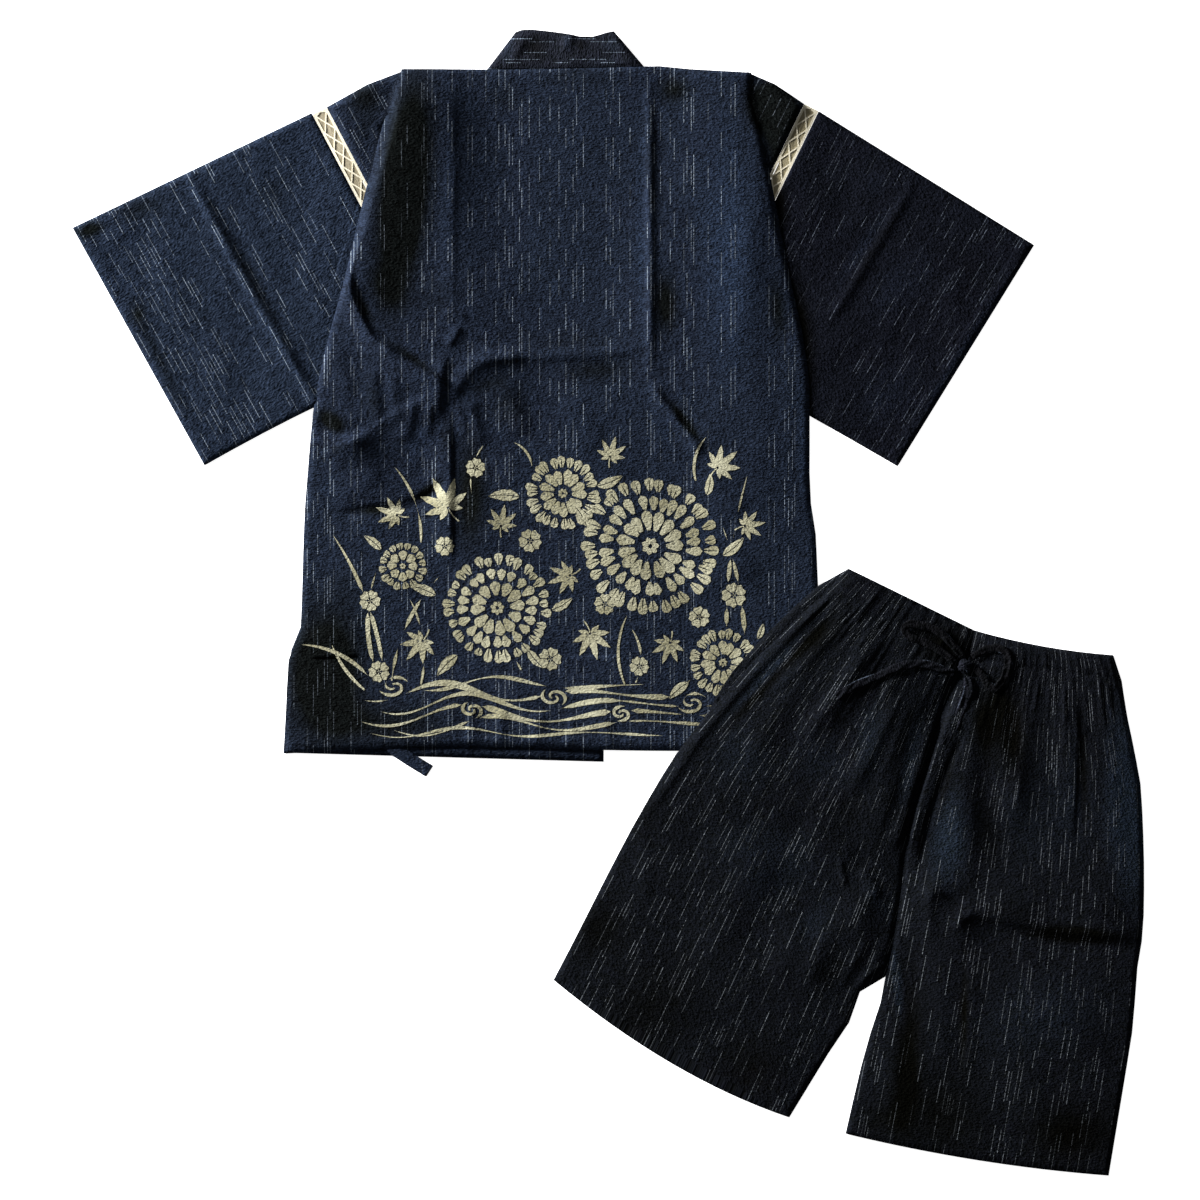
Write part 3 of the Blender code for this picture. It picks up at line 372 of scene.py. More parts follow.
def cornersOf(mesh):
    corner = np.zeros(len(mesh.loops), np.int32)
    mesh.loops.foreach_get("vertex_index", corner)
    return corner


def writeGrain(mesh, uv):
    mesh.uv_layers.new(name="grain").data.foreach_set("uv", (uv * mm).ravel().astype(np.float32))


# stores painted shading for each vertex: above nought painted shade, below nought painted light
def writePaintedShading(mesh, amounts):
    mesh.attributes.new("paintedShading", "FLOAT", "POINT").data.foreach_set("value", amounts.astype(np.float32))


def addPiece(name, mesh, material, slot, standsFor=None):
    mesh.materials.append(material)
    item = addItem(name, mesh)
    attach(item, "root")
    if standsFor:
        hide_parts(standsFor)
    return item


def addMesh(name, places, faces, material, slot, standsFor=None, uv=None, smooth=True, paintedShading=0.0):
    mesh = bpy.data.meshes.new(name)
    mesh.from_pydata([tuple(p) for p in np.asarray(places, float) * mm], [], faces)
    if uv is not None:
        writeGrain(mesh, np.asarray(uv)[cornersOf(mesh)])
    if paintedShading:
        writePaintedShading(mesh, np.full(len(places), paintedShading))
    mesh.polygons.foreach_set("use_smooth", np.full(len(mesh.polygons), smooth))
    mesh.update()
    return addPiece(name, mesh, material, slot, standsFor)


def ringFaces(rows, around):
    faces = []
    for i in range(0, (rows - 1) * around, around):
        for j in range(around):
            k = (j + 1) % around
            faces.append((i + j, i + k, i + around + k, i + around + j))
    return faces + [tuple(reversed(range(around))), tuple(range((rows - 1) * around, rows * around))]


def sideways(line):
    # unit steps to the left of the way along it
    way = np.gradient(np.asarray(line, float), axis=0)
    way /= np.maximum(np.hypot(*way.T), 1e-6)[:, None]
    return np.stack([-way[:, 1], way[:, 0]], 1)


def makeStrand(name, seed):
    route, at = smoothRoute(bow["routes"][name], bow["step"])
    height = topOf(nodes[name])
    tops = [height(x, y) for x, y in route]
    known = [i for i, z in enumerate(tops) if z is not None]
    tops = np.interp(range(len(tops)), known, [tops[i] for i in known])
    for _ in range(3):
        tops[1:-1] = (tops[:-2] + 2 * tops[1:-1] + tops[2:]) / 4
    side = sideways(route)
    share = at / at[-1]
    spread = bow["spread"][name]
    half = bow["width"] / 2 * np.interp(share, np.linspace(0, 1, len(spread)), spread)
    fold = waves(seed, (9, 14, 23), 0.35)
    edge = waves(seed + 1, (7, 11, 17), 0.28)
    roll = waves(seed + 2, (26, 41), 0.30)
    places, uv = [], []
    for i, (x, y) in enumerate(route):
        for a, r in bow["section"]:
            off = half[i] * a + (edge(at[i], 9.0 * a) if abs(a) > 0.9 else 0)
            lift = fold(at[i], off * 2.2) if r > -0.4 else 0.0
            lean = roll(at[i]) * a * 1.6 if r > -0.9 else 0
            z = tops[i] + bow["rest"] + bow["thick"] * r + max(-0.4, lift) + lean
            places.append((x + side[i, 0] * off, y + side[i, 1] * off, z))
            uv.append((off + 3, at[i]))
    item = addMesh(name + "_tube", places, ringFaces(len(route), len(bow["section"])), drawstringCotton,
                   "drawstring_cotton", name, uv, paintedShading=bow["strandPaintedShade"][name])
    path = np.column_stack([route, tops + bow["rest"] - 0.5 * bow["thick"]]) * mm
    return item, path, at[-1] * mm


def makeKnot():
    k = bow["knot"]
    low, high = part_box("drawstring_knot")
    height = (high[2] - low[2]) / mm
    rows, around = k["rows"], k["around"]
    c, s = math.cos(math.radians(k["lean"])), math.sin(math.radians(k["lean"]))
    crumple = waves(5, (4.1, 6.3, 9.0), 0.22)
    places, uv = [], []
    for i in range(rows):
        a = -1 + 2 * i / (rows - 1)
        body = math.sqrt(max(0.0, 1 - min(1, abs(a)) ** 2.6)) * 0.86 + 0.02
        wrap = 0.16 * math.exp(-((a + 0.1) / 0.42) ** 6)
        for j in range(around):
            t = math.tau * j / around
            ridge = 0.05 * math.sin(3 * t + 5 * a) + 0.04 * math.sin(math.tau * a * 2.2 + 2 * math.sin(t))
            r = body + (wrap if body > 0.2 else 0) + ridge * body
            along = a * k["size"][0] / 2
            across = r * math.cos(t) * k["size"][1] / 2 * (1 + 0.12 * math.sin(2.2 * a + 0.5))
            z = low[2] / mm + height / 2 + r * math.sin(t) * height / 2 * 1.02 + crumple(along, across * 2)
            z = max(z, low[2] / mm + 0.05) + bow["rest"]
            places.append((k["at"][0] + along * c - across * s, k["at"][1] + along * s + across * c, z))
            uv.append((across, along * 1.5 + 4 * t))
    return addMesh("drawstring_knot_tied", places, ringFaces(rows, around), drawstringCotton,
                   "drawstring_cotton", "drawstring_knot", uv, paintedShading=bow["strandPaintedShade"]["drawstring_knot"])


drawstringCotton = makeCotton("cord")
knotTied = makeKnot()
for number, strandName in enumerate(bow["routes"]):
    strand, strandPath, strandLength = makeStrand(strandName, 11 * number + 3)
    looped = "loop" in strandName
    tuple(strandPath[0])
print("drawstring made")


# shells: a node's upper side cut finer, smoothed, and given its creases

shell = {
    "sag": 0.5,  # how far smoothing may lower it towards what it lies on
    "fade": 5.0,  # in from its edges to the full height of its creases
    "lowest": -0.55, "highest": 12.0,  # against the solid's own face
    "closeUp": 0.22,  # by which its edges grow outward, so that seams close
    "wall": 0.3,  # how far to the side a vertex faces to be on such an edge
    "facing": 0.2,  # how far up a face has to look to be cut finer
    "crisp": 55,  # degrees from which an edge stays sharp
    # limits of the painted shading, from painted light to full painted shade
    "paintedShadingRange": (-3.2, 1.0),
}


def ease(x):
    x = np.clip(x, 0.0, 1.0)
    return x * x * (3 - 2 * x)


def toLine(x, y, line):
    # how far along a straight line from its start, how far off to its left, the distance to it, and its length
    x0, y0, x1, y1 = line
    length = math.dist((x0, y0), (x1, y1))
    ax, ay = (x1 - x0) / length, (y1 - y0) / length
    along = (x - x0) * ax + (y - y0) * ay
    t = np.clip(along, 0, length)
    return along, (y - y0) * ax - (x - x0) * ay, np.hypot(x - x0 - ax * t, y - y0 - ay * t), length


def piecesOf(points):
    return [(*a, *b) for a, b in zip(points, points[1:])]


def distanceTo(x, y, lines):
    best = np.full(np.shape(x), 1e9)
    for line in lines:
        best = np.minimum(best, toLine(x, y, line)[2])
    return best


def creaseHeight(x, y, creases):
    total = np.zeros_like(x)
    for *line, arch, wideLeft, wideRight, height in creases:
        along, off, _, length = toLine(x, y, line)
        t = along / length
        off = off - 4 * arch * t * (1 - t)
        width = np.where(off > 0, wideLeft, wideRight)
        total += height * np.exp(-((off / width) ** 2)) * ease(4 * t) * ease(4 * (1 - t)) * ((t > 0) & (t < 1))
    return total


def routeHeight(x, y, routes):
    # creases along curved lines: points, then width on the left, on the right and height, start to end
    total = np.zeros_like(x)
    for points, left, right, height in routes:
        path, reach = smoothRoute(points, 6.0)
        best, off, at = np.full(len(x), 1e9), np.zeros(len(x)), np.zeros(len(x))
        for line, start in zip(piecesOf(path), reach):
            along, aside, far, length = toLine(x, y, line)
            nearer = far < best
            best = np.where(nearer, far, best)
            off = np.where(nearer, aside, off)
            at = np.where(nearer, start + np.clip(along, 0, length), at)
        share = at / reach[-1]
        wide, rise = (first + (last - first) * share for first, last in (left, height))
        narrow = right[0] + (right[1] - right[0]) * share
        fade = np.exp(-((best / np.where(off > 0, wide, narrow)) ** 2))
        total += rise * fade * ease(6 * share) * ease(6 * (1 - share))
    return total


def paintedShadingAt(x, y, region, paintedShades):
    # soft patches of painted shade, and of painted light where the amount is below nought
    total = np.zeros(len(x))
    for cx, cy, along, wide, degrees, amount in paintedShades:
        c, s = math.cos(math.radians(degrees)), math.sin(math.radians(degrees))
        u, v = (x - cx) * c + (y - cy) * s, (y - cy) * c - (x - cx) * s
        total += amount * ease(1.0 - np.hypot(u / along, v / wide))
    return np.clip(np.where(region > 0, total, 0.0), *shell["paintedShadingRange"])


def visibleFrom(tree, face, direction):
    centre = face.calc_center_median()
    for point in [centre] + [v.co.lerp(centre, 0.12) for v in face.verts]:
        if tree.ray_cast(point + direction * 2e-5, direction)[0] is None:  # from just clear of the face
            return True
    return False


def labelRegions(shape, layer, direction, first):
    tree = BVHTree.FromBMesh(shape)
    shown = {f for f in shape.faces
             if f.normal.dot(direction) > shell["facing"] and visibleFrom(tree, f, direction)}
    groups = []
    while shown:
        group, front = [], [shown.pop()]
        while front:
            face = front.pop()
            group.append(face)
            near = {f for e in face.edges for f in e.link_faces} & shown
            shown -= near
            front += near
        groups.append(group)
    groups.sort(key=lambda g: -sum(f.calc_area() for f in g))
    for number, group in enumerate(groups, first):
        for face in group:
            face[layer] = number


def cutFiner(shape, layer, cell, lines=(), reach=0.0):
    for _ in range(6):
        edges = [e for e in shape.edges if e.calc_length() > cell * mm and any(f[layer] for f in e.link_faces)]
        if lines:
            middle = np.array([(e.verts[0].co + e.verts[1].co) / 2 for e in edges]) / mm
            edges = [e for e, far in zip(edges, distanceTo(middle[:, 0], middle[:, 1], lines)) if far < reach]
        if not edges:
            return
        bmesh.ops.subdivide_edges(shape, edges=edges, cuts=1, use_grid_fill=True)


def flatTree(points):
    # finds the nearest as seen from above
    tree = KDTree(len(points))
    for i, (x, y) in enumerate(points):
        tree.insert((x, y, 0), i)
    tree.balance()
    return tree


def makeShell(name, look, below=False):
    # look: cell size, smoothing passes, relief(x, y, region) and grain(region, x, y), in millimetres;
    # regions are 1 and on from the largest seen from above, and 101 and on from below
    shape = bmesh.new()
    shape.from_mesh(nodes[name].data)
    bmesh.ops.remove_doubles(shape, verts=shape.verts, dist=0.01 * mm)
    layer = shape.faces.layers.int.new("region")
    labelRegions(shape, layer, up, 1)
    if below:
        labelRegions(shape, layer, -up, 101)
    cutFiner(shape, layer, look["cell"])
    if look.get("fineLines"):
        cutFiner(shape, layer, look["fineCell"], look["fineLines"], look["fineReach"])
    shape.verts.index_update()
    upper = [f for f in shape.faces if f[layer]]
    isUpper = np.zeros(len(shape.verts), bool)
    isEdge = np.zeros(len(shape.verts), bool)
    region = np.zeros(len(shape.verts), int)
    for face in upper:
        for vert in face.verts:
            isUpper[vert.index] = True
            region[vert.index] = face[layer]
    rims = {}
    for edge in shape.edges:
        labels = {f[layer] for f in edge.link_faces}
        for label in labels if len(labels) > 1 else ():
            rims.setdefault(label, set()).update(v.index for v in edge.verts)
            isEdge[[v.index for v in edge.verts]] = True
    pairs = {frozenset(v.index for v in e.verts) for f in upper for e in f.edges}
    pairs = np.array([tuple(p) for p in pairs])
    mesh = bpy.data.meshes.new(name + "_cloth")
    places = np.array([v.co for v in shape.verts]) / mm
    x, y, z = places.T
    isLower, isFree = region > 100, isUpper & ~isEdge
    sign = np.where(isLower, -1.0, 1.0)
    count = np.maximum(np.bincount(pairs.ravel(), minlength=len(z)), 1)
    smooth = z.copy()
    for _ in range(look["passes"]):
        total = sum(np.bincount(pairs[:, a], smooth[pairs[:, b]], len(z)) for a, b in ((0, 1), (1, 0)))
        mean = total / count  # drapes over what lies under it, and never through
        held = np.where(isLower, np.minimum(mean, z + shell["sag"]), np.maximum(mean, z - shell["sag"]))
        smooth = np.where(isFree, held, smooth)
    toRim = np.zeros(len(x))
    for label in set(rims) - {0}:
        rim = flatTree([(x[i], y[i]) for i in rims[label]])
        for i in np.flatnonzero(region == label):
            toRim[i] = rim.find((x[i], y[i], 0))[2]
    loft, ramp = look.get("loft", (0.0, 1.0))
    air = np.where(isLower, 0.0, loft * ease(toRim / ramp))
    rise = sign * (smooth - z) + air + look["relief"](x, y, region) * ease(toRim / shell["fade"])
    rise = np.clip(rise, shell["lowest"], np.where(isLower, 0.0, shell["highest"]))
    places[:, 2] = z + np.where(isFree, sign * rise, 0.0)
    outward = np.array([v.normal.xy.to_tuple() for v in shape.verts])
    steep = np.hypot(*outward.T)
    grown = np.where(steep > shell["wall"], shell["closeUp"] / np.maximum(steep, shell["wall"]), 0.0)
    places[:, :2] += grown[:, None] * outward
    shape.to_mesh(mesh)
    faceRegion = np.array([f[layer] for f in shape.faces])
    shape.free()
    mesh.vertices.foreach_set("co", (places * mm).ravel().astype(np.float32))
    mesh.update()
    if "region" in mesh.attributes:
        mesh.attributes.remove(mesh.attributes["region"])
    corner = cornersOf(mesh)
    corners = np.zeros(len(mesh.polygons), np.int32)
    mesh.polygons.foreach_get("loop_total", corners)
    grain = look["grain"](np.repeat(faceRegion, corners), places[corner, 0], places[corner, 1])
    writeGrain(mesh, np.stack(grain, 1))
    # patches of painted shade and painted light, for each vertex
    writePaintedShading(mesh, paintedShadingAt(x, y, np.where(isLower, 0, region), look.get("paintedShades", ())))
    mesh.polygons.foreach_set("use_smooth", np.ones(len(mesh.polygons), bool))
    mesh.set_sharp_from_angle(angle=math.radians(shell["crisp"]))
    print(" ", name, len(mesh.polygons), "faces")
    return addPiece(name + "_cloth", mesh, look["material"], look["slot"], name)


def turned(x, y, degrees, shift=(0.0, 0.0)):
    c, s = math.cos(math.radians(degrees)), math.sin(math.radians(degrees))
    return x * c + y * s + shift[0], -x * s + y * c + shift[1]


# jacket back: lies over the other jacket pieces, with sharp packing creases and soft slack folds

back = {
    "cell": 4.8,
    "passes": 120,
    "material": cottons["jacket"],
    "slot": "navy_cotton",
    "fineCell": 2.4,  # near its narrow creases
    "fineReach": 9.0,
    "narrow": 12,
    "creases": (  # from, to, bow, width on the left and right of that way, height
        (-171, 597, -171, 283, 0, 4.5, 14, 0.9), (-175, 223, -174, 30, 0, 4, 20, 2.6),
        (45, 597, 46, 228, 0, 6, 4.5, 2.7), (150, 553, 158, 47, -3, 26, 50, 2.2),
        (-187, 196, -179, 278, 2, 9, 6, 2.6), (-177, 278, -161, 305, 1, 5, 5, 2.0),
        (-185, 320, -152, 313, 1, 4, 6, 1.0), (-261, 265, -252, 190, 1, 7, 9, 1.8),
        (-237, 260, -231, 195, -1, 7, 8, 1.5), (-214, 225, -224, 173, 1, 7, 9, 1.7),
        (-193, 225, -201, 172, -1, 7, 9, 1.6), (-152, 230, -139, 168, -2, 8, 12, 2.2),
        (-119, 249, -93, 179, 2, 12, 16, 2.1), (-168, 221, -157, 179, 1, 5, 8, 1.8),
        (-306, 283, -282, 223, 2, 9, 12, 1.4), (-246, 146, -306, 113, 3, 12, 14, 1.4),
        (-152, 146, -128, 47, 3, 14, 18, 1.2), (-240, 190, -202, 146, -3, 12, 12, 1.3),
        (-53, 223, -9, 166, 3, 16, 18, 1.3), (-152, -160, -148, -107, 1, 5, 8, 1.4),
        (-120, -162, -117, -114, -1, 7, 6, 1.1), (-80, -164, -74, -116, 1, 6, 8, 1.2),
        (-44, -162, -40, -120, -1, 5, 7, 0.9), (2, -164, -3, -120, 1, 7, 9, 1.2),
        (-326, -32, -290, -41, 1, 5, 6, 1.0), (101, 146, 145, 91, 4, 16, 22, 1.6),
        (90, 3, 167, 47, 6, 20, 18, 1.6), (-306, 47, -196, 19, -5, 18, 20, 1.2),
        (-119, 333, -53, 399, 3, 24, 26, 0.7), (-42, 476, -9, 542, -2, 20, 24, 0.6),
    ),
    "routes": (  # the long fold over the left sleeve, and curved ones that run out of it
        (((-226, 590), (-229, 535), (-242, 487), (-256, 443), (-266, 404), (-278, 375), (-284, 344), (-290,
          311)), (66, 44), (9, 8), (8.6, 4.6)),
        (((-284, 375), (-284, 350), (-278, 326), (-258, 289), (-239, 276), (-217, 261), (-195, 249), (-165,
          229)), (4.5, 4.5), (12, 11), (4.2, 3.8)),
        (((-174, 218), (-165, 240), (-148, 258), (-124, 267), (-88, 271)), (8, 10), (7, 9), (2.6, 2.0)),
        (((-324, 201), (-304, 185), (-284, 190), (-267, 196)), (6, 6), (7, 7), (-2.2, -1.2)),
        (((-319, 159), (-290, 172), (-269, 183), (-234, 206), (-198, 225), (-179, 221)), (4.5, 5), (24, 20),
          (2.6, 1.6)),
        (((-161, 262), (-119, 269), (-53, 271), (37, 278)), (9, 9), (6, 7), (2.2, 2.6)),
        (((-301, 95), (-260, 103), (-224, 106), (-196, 119), (-176, 141)), (5, 5), (7, 6), (-2.0, -3.0)),
        (((46, 245), (59, 221), (79, 196), (105, 161)), (6, 5), (7, 6), (2.8, 2.6)),
    ),
    "paintedShades": (  # patches of painted shade, and of painted light where the amount is below nought: place, half length, half width, turn, amount
        (-224, 453, 200, 46, 84, 1.9), (-243, 345, 40, 29, -47, 0.6), (-192, 333, 39, 29, 58, 0.35),
        (-267, 555, 33, 37, -4, 0.9), (-268, 520, 26, 15, 57, 0.4), (182, 542, 52, 44, -57, 2.3),
        (184, 492, 40, 22, -74, 1.0), (-311, -80, 127, 73, 88, 1.6), (-240, -134, 99, 40, -1, 0.9),
        (-152, -107, 33, 33, 0, 0.35), (72, 564, 29, 26, -4, 1.0), (-114, 555, 28, 24, 5, 0.45),
        (-31, 579, 66, 18, 0, 0.35), (-151, 118, 94, 29, 89, 1.2), (-108, 216, 43, 29, -60, 0.6),
        (-14, 255, 62, 19, 5, 0.75), (63, 328, 53, 22, -88, 1.2), (186, 322, 55, 15, -87, 0.9),
        (-304, 199, 27, 16, -35, 1.6), (-268, 324, 34, 8, -64, 0.9), (-215, 268, 49, 8, -34, 0.9),
        (-131, 240, 37, 13, 21, 0.6), (-179, 182, 37, 9, 80, 0.5), (-253, 102, 40, 10, 3, 1.2),
        (-199, 122, 29, 10, 37, 1.4), (-298, 169, 17, 11, 11, 0.5), (84, 199, 48, 8, -52, 1.4),
        (-258, 222, 39, 13, -87, 0.5), (49, 481, 94, 10, -89, 0.5),
        (132, 382, 193, 48, -89, -0.55), (35, 404, 160, 9, 90, -0.3), (-179, 448, 116, 10, 90, -0.15),
        (-42, 286, 77, 20, 2, 0.35), (-213, 173, 28, 22, 79, -0.25), (-287, 22, 41, 24, -86, 0.25),
        (107, 80, 34, 26, -79, -0.3), (169, 25, 66, 29, -88, 0.25),
        (214, 168, 121, 10, -88, -0.4), (60, 190, 33, 15, -84, -0.25), (-201, 241, 23, 11, -31, -0.3),
        (-309, 129, 17, 15, -79, -0.2),
    ),
    "patchRise": (2.6, 45.0),
    "loft": (1.6, 6.0),  # air under it, and how far in from its edges that takes
    "leftEdge": ((-324, 211), (-320, 237), (-307, 292), (-291, 351), (-271, 435), (-259, 481), (-248, 524),
                 (-234, 564), (-227, 586)),
    "rightEdge": ((221, 206), (221, 241), (214, 292), (201, 351), (180, 457), (166, 524), (156, 564),
                  (157, 582)),
    "hem": (-163.0, 16.0, 0.7),  # place, depth and thickness of the turned hem
    "patchTurn": {"left": 27.8, "right": -25.9},
    "slack": (0.25, (170, 95, 60, 130)),
}
backSlack = waves(31, back["slack"][1], back["slack"][0])


def lineDistance(x, y, line):
    (x0, y0), (x1, y1) = line
    length = math.dist((x0, y0), (x1, y1))
    return ((y - y0) * (x1 - x0) - (x - x0) * (y1 - y0)) / length


def onPatch(x, y):
    # outside the long folds, on the part that runs out to the lace
    left, right = (np.interp(y, [p[1] for p in back[edge]], [p[0] for p in back[edge]])
                   for edge in ("leftEdge", "rightEdge"))
    return (y > 205) & ((x < left - 1.5) | (x > right + 1.5))


def backRelief(x, y, region):
    place, depth, thick = back["hem"]
    hem = thick * ease((place + depth - y) / 2.5)
    main = creaseHeight(x, y, back["creases"]) + routeHeight(x, y, back["routes"]) + hem + backSlack(x, y)
    fold = distanceTo(x, y, piecesOf(back["leftEdge"]) + piecesOf(back["rightEdge"]))
    patch = back["patchRise"][0] * ease(fold / back["patchRise"][1])
    return np.where(onPatch(x, y), patch + 0.4 * backSlack(x * 1.7, y * 1.7), main)


def backGrain(region, x, y):
    left = turned(x, y, back["patchTurn"]["left"], (11.0, 5.0))
    right = turned(x, y, back["patchTurn"]["right"], (7.0, 23.0))
    patch = onPatch(x, y) & (region > 0)
    u = np.where(patch, np.where(x < 0, left[0], right[0]), x)
    v = np.where(patch, np.where(x < 0, left[1], right[1]), y)
    return u, v


back["relief"] = backRelief
back["grain"] = backGrain
back["fineLines"] = [c[:4] for c in back["creases"] if min(c[5:7]) < back["narrow"]]
for route in back["routes"]:
    back["fineLines"] += piecesOf(route[0])
backCloth = makeShell("jacket_back", back)
print("jacket back made")


# print: chrysanthemums, maple leaves and grasses over a stream, screen printed in cream pigment

motifs = {
    "lift": 0.32,  # over the cloth
    "level": 2.0,  # of the cloth where a point just misses it
    "step": 3.2,
    "flowers": (  # centre, radius, petals in each ring, turn in degrees
        ((46, 62), 76, (34, 26, 15), 5),
        ((-122, -6), 60, (30, 21, 12), 12),
        ((-50, 120), 42, (24, 13), 0),
        ((126, -66), 38, (22, 12), 9),
        ((-226, 40), 27, (16, 8), 4),
    ),
    "maples": (  # centre, length of the middle lobe, the way it points
        ((-176, 104), 36, 118), ((-232, 96), 24, 160), ((120, 148), 27, 40), ((2, 160), 22, 75),
        ((-42, 30), 25, 200), ((-204, -42), 27, 230), ((-20, -34), 29, 285), ((68, -44), 24, 250),
        ((150, 84), 22, 10), ((-118, 84), 23, 80),
    ),
    "blossoms": (  # centre, radius, turn
        ((-86, 68), 13, 10), ((-262, 2), 12, 30), ((-4, -2), 12, 50), ((138, 8), 14, 0),
        ((-180, 62), 11, 20), ((100, -16), 12, 65), ((-64, -62), 13, 33), ((34, -70), 11, 12),
        ((-252, -76), 12, 5), ((-146, 148), 11, 44),
    ),
    "leaves": (  # foot, length, heading
        ((-98, 116), 34, 168), ((-12, 128), 30, 12), ((126, 52), 30, 30), ((-62, -8), 26, 20),
        ((-190, 8), 30, 150), ((-166, -58), 32, 215), ((-88, -52), 26, 300), ((-24, 84), 26, 110),
        ((88, -88), 28, 210), ((164, -40), 18, 60), ((-250, 58), 24, 130), ((108, 118), 24, 70),
    ),
    "streams": (  # start, end, sway, waves, width
        ((-268, -98), (92, -102), 11, 2.3, 7.5), ((-250, -111), (120, -112), 12, 2.3, 6.0),
        ((-272, -124), (148, -122), 12, 2.3, 7.0), ((-236, -136), (126, -132), 11, 2.2, 5.0),
        ((-204, -88), (40, -92), 9, 1.5, 4.5), ((-262, -142), (60, -145), 6, 2.2, 3.6),
    ),
    "curls": (  # centre, radius, turn in radians
        (-236, -92, 17, 0.4), (-60, -104, 15, 2.2), (92, -110, 17, 3.6), (-150, -118, 13, 5.0),
        (14, -122, 12, 1.2),
    ),
    "blades": (  # foot, heading, length, bend in degrees, width
        ((-252, -84), 112, 120, -42, 5.0), ((-246, -84), 96, 170, 28, 4.6), ((-238, -86), 84, 128, -38, 4.4),
        ((-258, -88), 128, 92, 50, 4.2), ((-268, -96), 140, 62, -30, 3.6), ((148, -104), 84, 190, 26, 5.0),
        ((142, -106), 74, 120, -48, 4.2), ((152, -108), 62, 96, -30, 3.8), ((136, -108), 98, 250, -24, 4.6),
        ((-206, -90), 78, 96, 40, 3.6), ((-96, -74), 116, 66, 44, 3.4), ((30, -88), 66, 62, 60, 3.4),
        ((18, -90), 112, 78, -50, 3.2), ((-84, 150), 100, 34, 60, 2.6), ((96, 134), 104, 52, -60, 3.2),
        ((-150, 120), 100, 56, -50, 3.0), ((-206, 66), 88, 90, 44, 3.6), ((84, -92), 52, 50, -40, 3.0),
    ),
}


def heading(degrees, length=1.0):
    return np.array((math.cos(math.radians(degrees)), math.sin(math.radians(degrees)))) * length


def addRibbon(art, line, widths):
    line = np.asarray(line, float)
    side = sideways(line) * (np.asarray(widths) / 2)[:, None]
    first = len(art["places"])
    for i, point in enumerate(line):
        art["places"] += [point - side[i], point, point + side[i]]
    for i in range(len(line) - 1):
        a, b = first + 3 * i, first + 3 * i + 3
        art["faces"] += [(a, b, b + 1, a + 1), (a + 1, b + 1, b + 2, a + 2)]


def clearOf(line):
    # how far the nearest printed flower or leaf is
    room = np.full(len(line), 1e9)
    for centre, radius in [(f[0], f[1] + 2) for f in motifs["flowers"]] + [
            (np.array(m[0]) + heading(m[2], 0.25 * m[1]), 0.85 * m[1]) for m in motifs["maples"]] + [
            (b[0], b[1] + 1) for b in motifs["blossoms"]] + [
            (np.array(v[0]) + heading(v[2], 0.5 * v[1]), 0.42 * v[1]) for v in motifs["leaves"]]:
        room = np.minimum(room, np.hypot(*(line - np.array(centre)).T) - radius)
    return ease(room / 7)


def bentLine(foot, degrees, length, bend, count):
    turn = np.radians(degrees + bend * np.linspace(0, 1, count))
    steps = np.stack([np.cos(turn), np.sin(turn)], 1)[:-1] * length / (count - 1)
    return np.vstack([[foot], np.array(foot) + np.cumsum(steps, axis=0)])


def addPetal(art, centre, degrees, near, far, width, bend, tip=0.72, slit=0.0):
    t = np.linspace(0, 1, max(5, round((far - near) / motifs["step"]) + 2))
    start = degrees - bend / 2
    line = bentLine(np.array(centre) + heading(start, near), start, far - near, bend, len(t))
    rounding = np.sqrt(np.clip(1 - (np.clip(t - tip, 0, 1) / (1 - tip)) ** 2, 0, 1))
    width = width * (0.3 + 0.7 * np.minimum(t / tip, 1)) * rounding
    if not slit:
        addRibbon(art, line, width)
        return
    across = heading(degrees + 90)
    gap = slit * np.clip((0.8 - t) / 0.3, 0, 1)
    for side in (-1, 1):
        half = np.maximum(width / 2 - gap / 2, 0)
        addRibbon(art, line + side * across * ((half + gap) / 2)[:, None], half)


def drawFlower(art, flower, rng):
    centre, radius, rings, turn = flower
    edges = np.linspace(0.15, 1.0, len(rings) + 1) ** 0.8 * radius
    for ring, count in enumerate(reversed(rings)):
        near, far = edges[ring] + 0.7, edges[ring + 1]
        outer = ring == len(rings) - 1
        for i in range(count):
            angle = turn + 360 * (i + 0.5 * (ring % 2)) / count + rng.uniform(-1.5, 1.5)
            reach = far * rng.uniform(0.93, 1.02)
            width = math.tau * far / count * (0.78 if outer else 0.74)
            addPetal(art, centre, angle, near * rng.uniform(0.98, 1.04), reach, width, rng.uniform(8, 20),
                     0.6, 1.1 if outer else 0.0)
    for i in range(7):
        addPetal(art, centre, turn + 360 * i / 7, 0.03 * radius, 0.13 * radius, 0.075 * radius, 0, 0.5)


def drawMaple(art, maple):
    centre, length, way = maple
    for angle, share in ((0, 1), (38, 0.9), (-38, 0.9), (76, 0.7), (-76, 0.7), (116, 0.42), (-116, 0.42)):
        t, lobe = np.linspace(0, 1, 8), way + angle
        line = bentLine(centre + heading(lobe, 1.2), lobe, share * length, 6 * np.sign(angle), len(t))
        teeth = np.sin(np.pi * t**0.75) ** 0.8 * (1 + 0.16 * np.sin(21 * t))
        addRibbon(art, line, 0.27 * length * share**0.5 * teeth)
    stalk = bentLine(centre - heading(way, 1.0), way + 180, 0.5 * length, 30, 6)
    addRibbon(art, stalk, np.linspace(1.2, 1.6, len(stalk)))


def drawBlossom(art, blossom):
    centre, radius, turn = blossom
    for i in range(5):
        angle = turn + 72 * i
        for lean in (-15, 15):
            addPetal(art, centre, angle + lean, 0.28 * radius, radius, 0.5 * radius, -lean, 0.62)
        addRibbon(art, [centre + heading(angle + 36, share * radius) for share in (0.05, 0.55)], [0.5, 1.1])


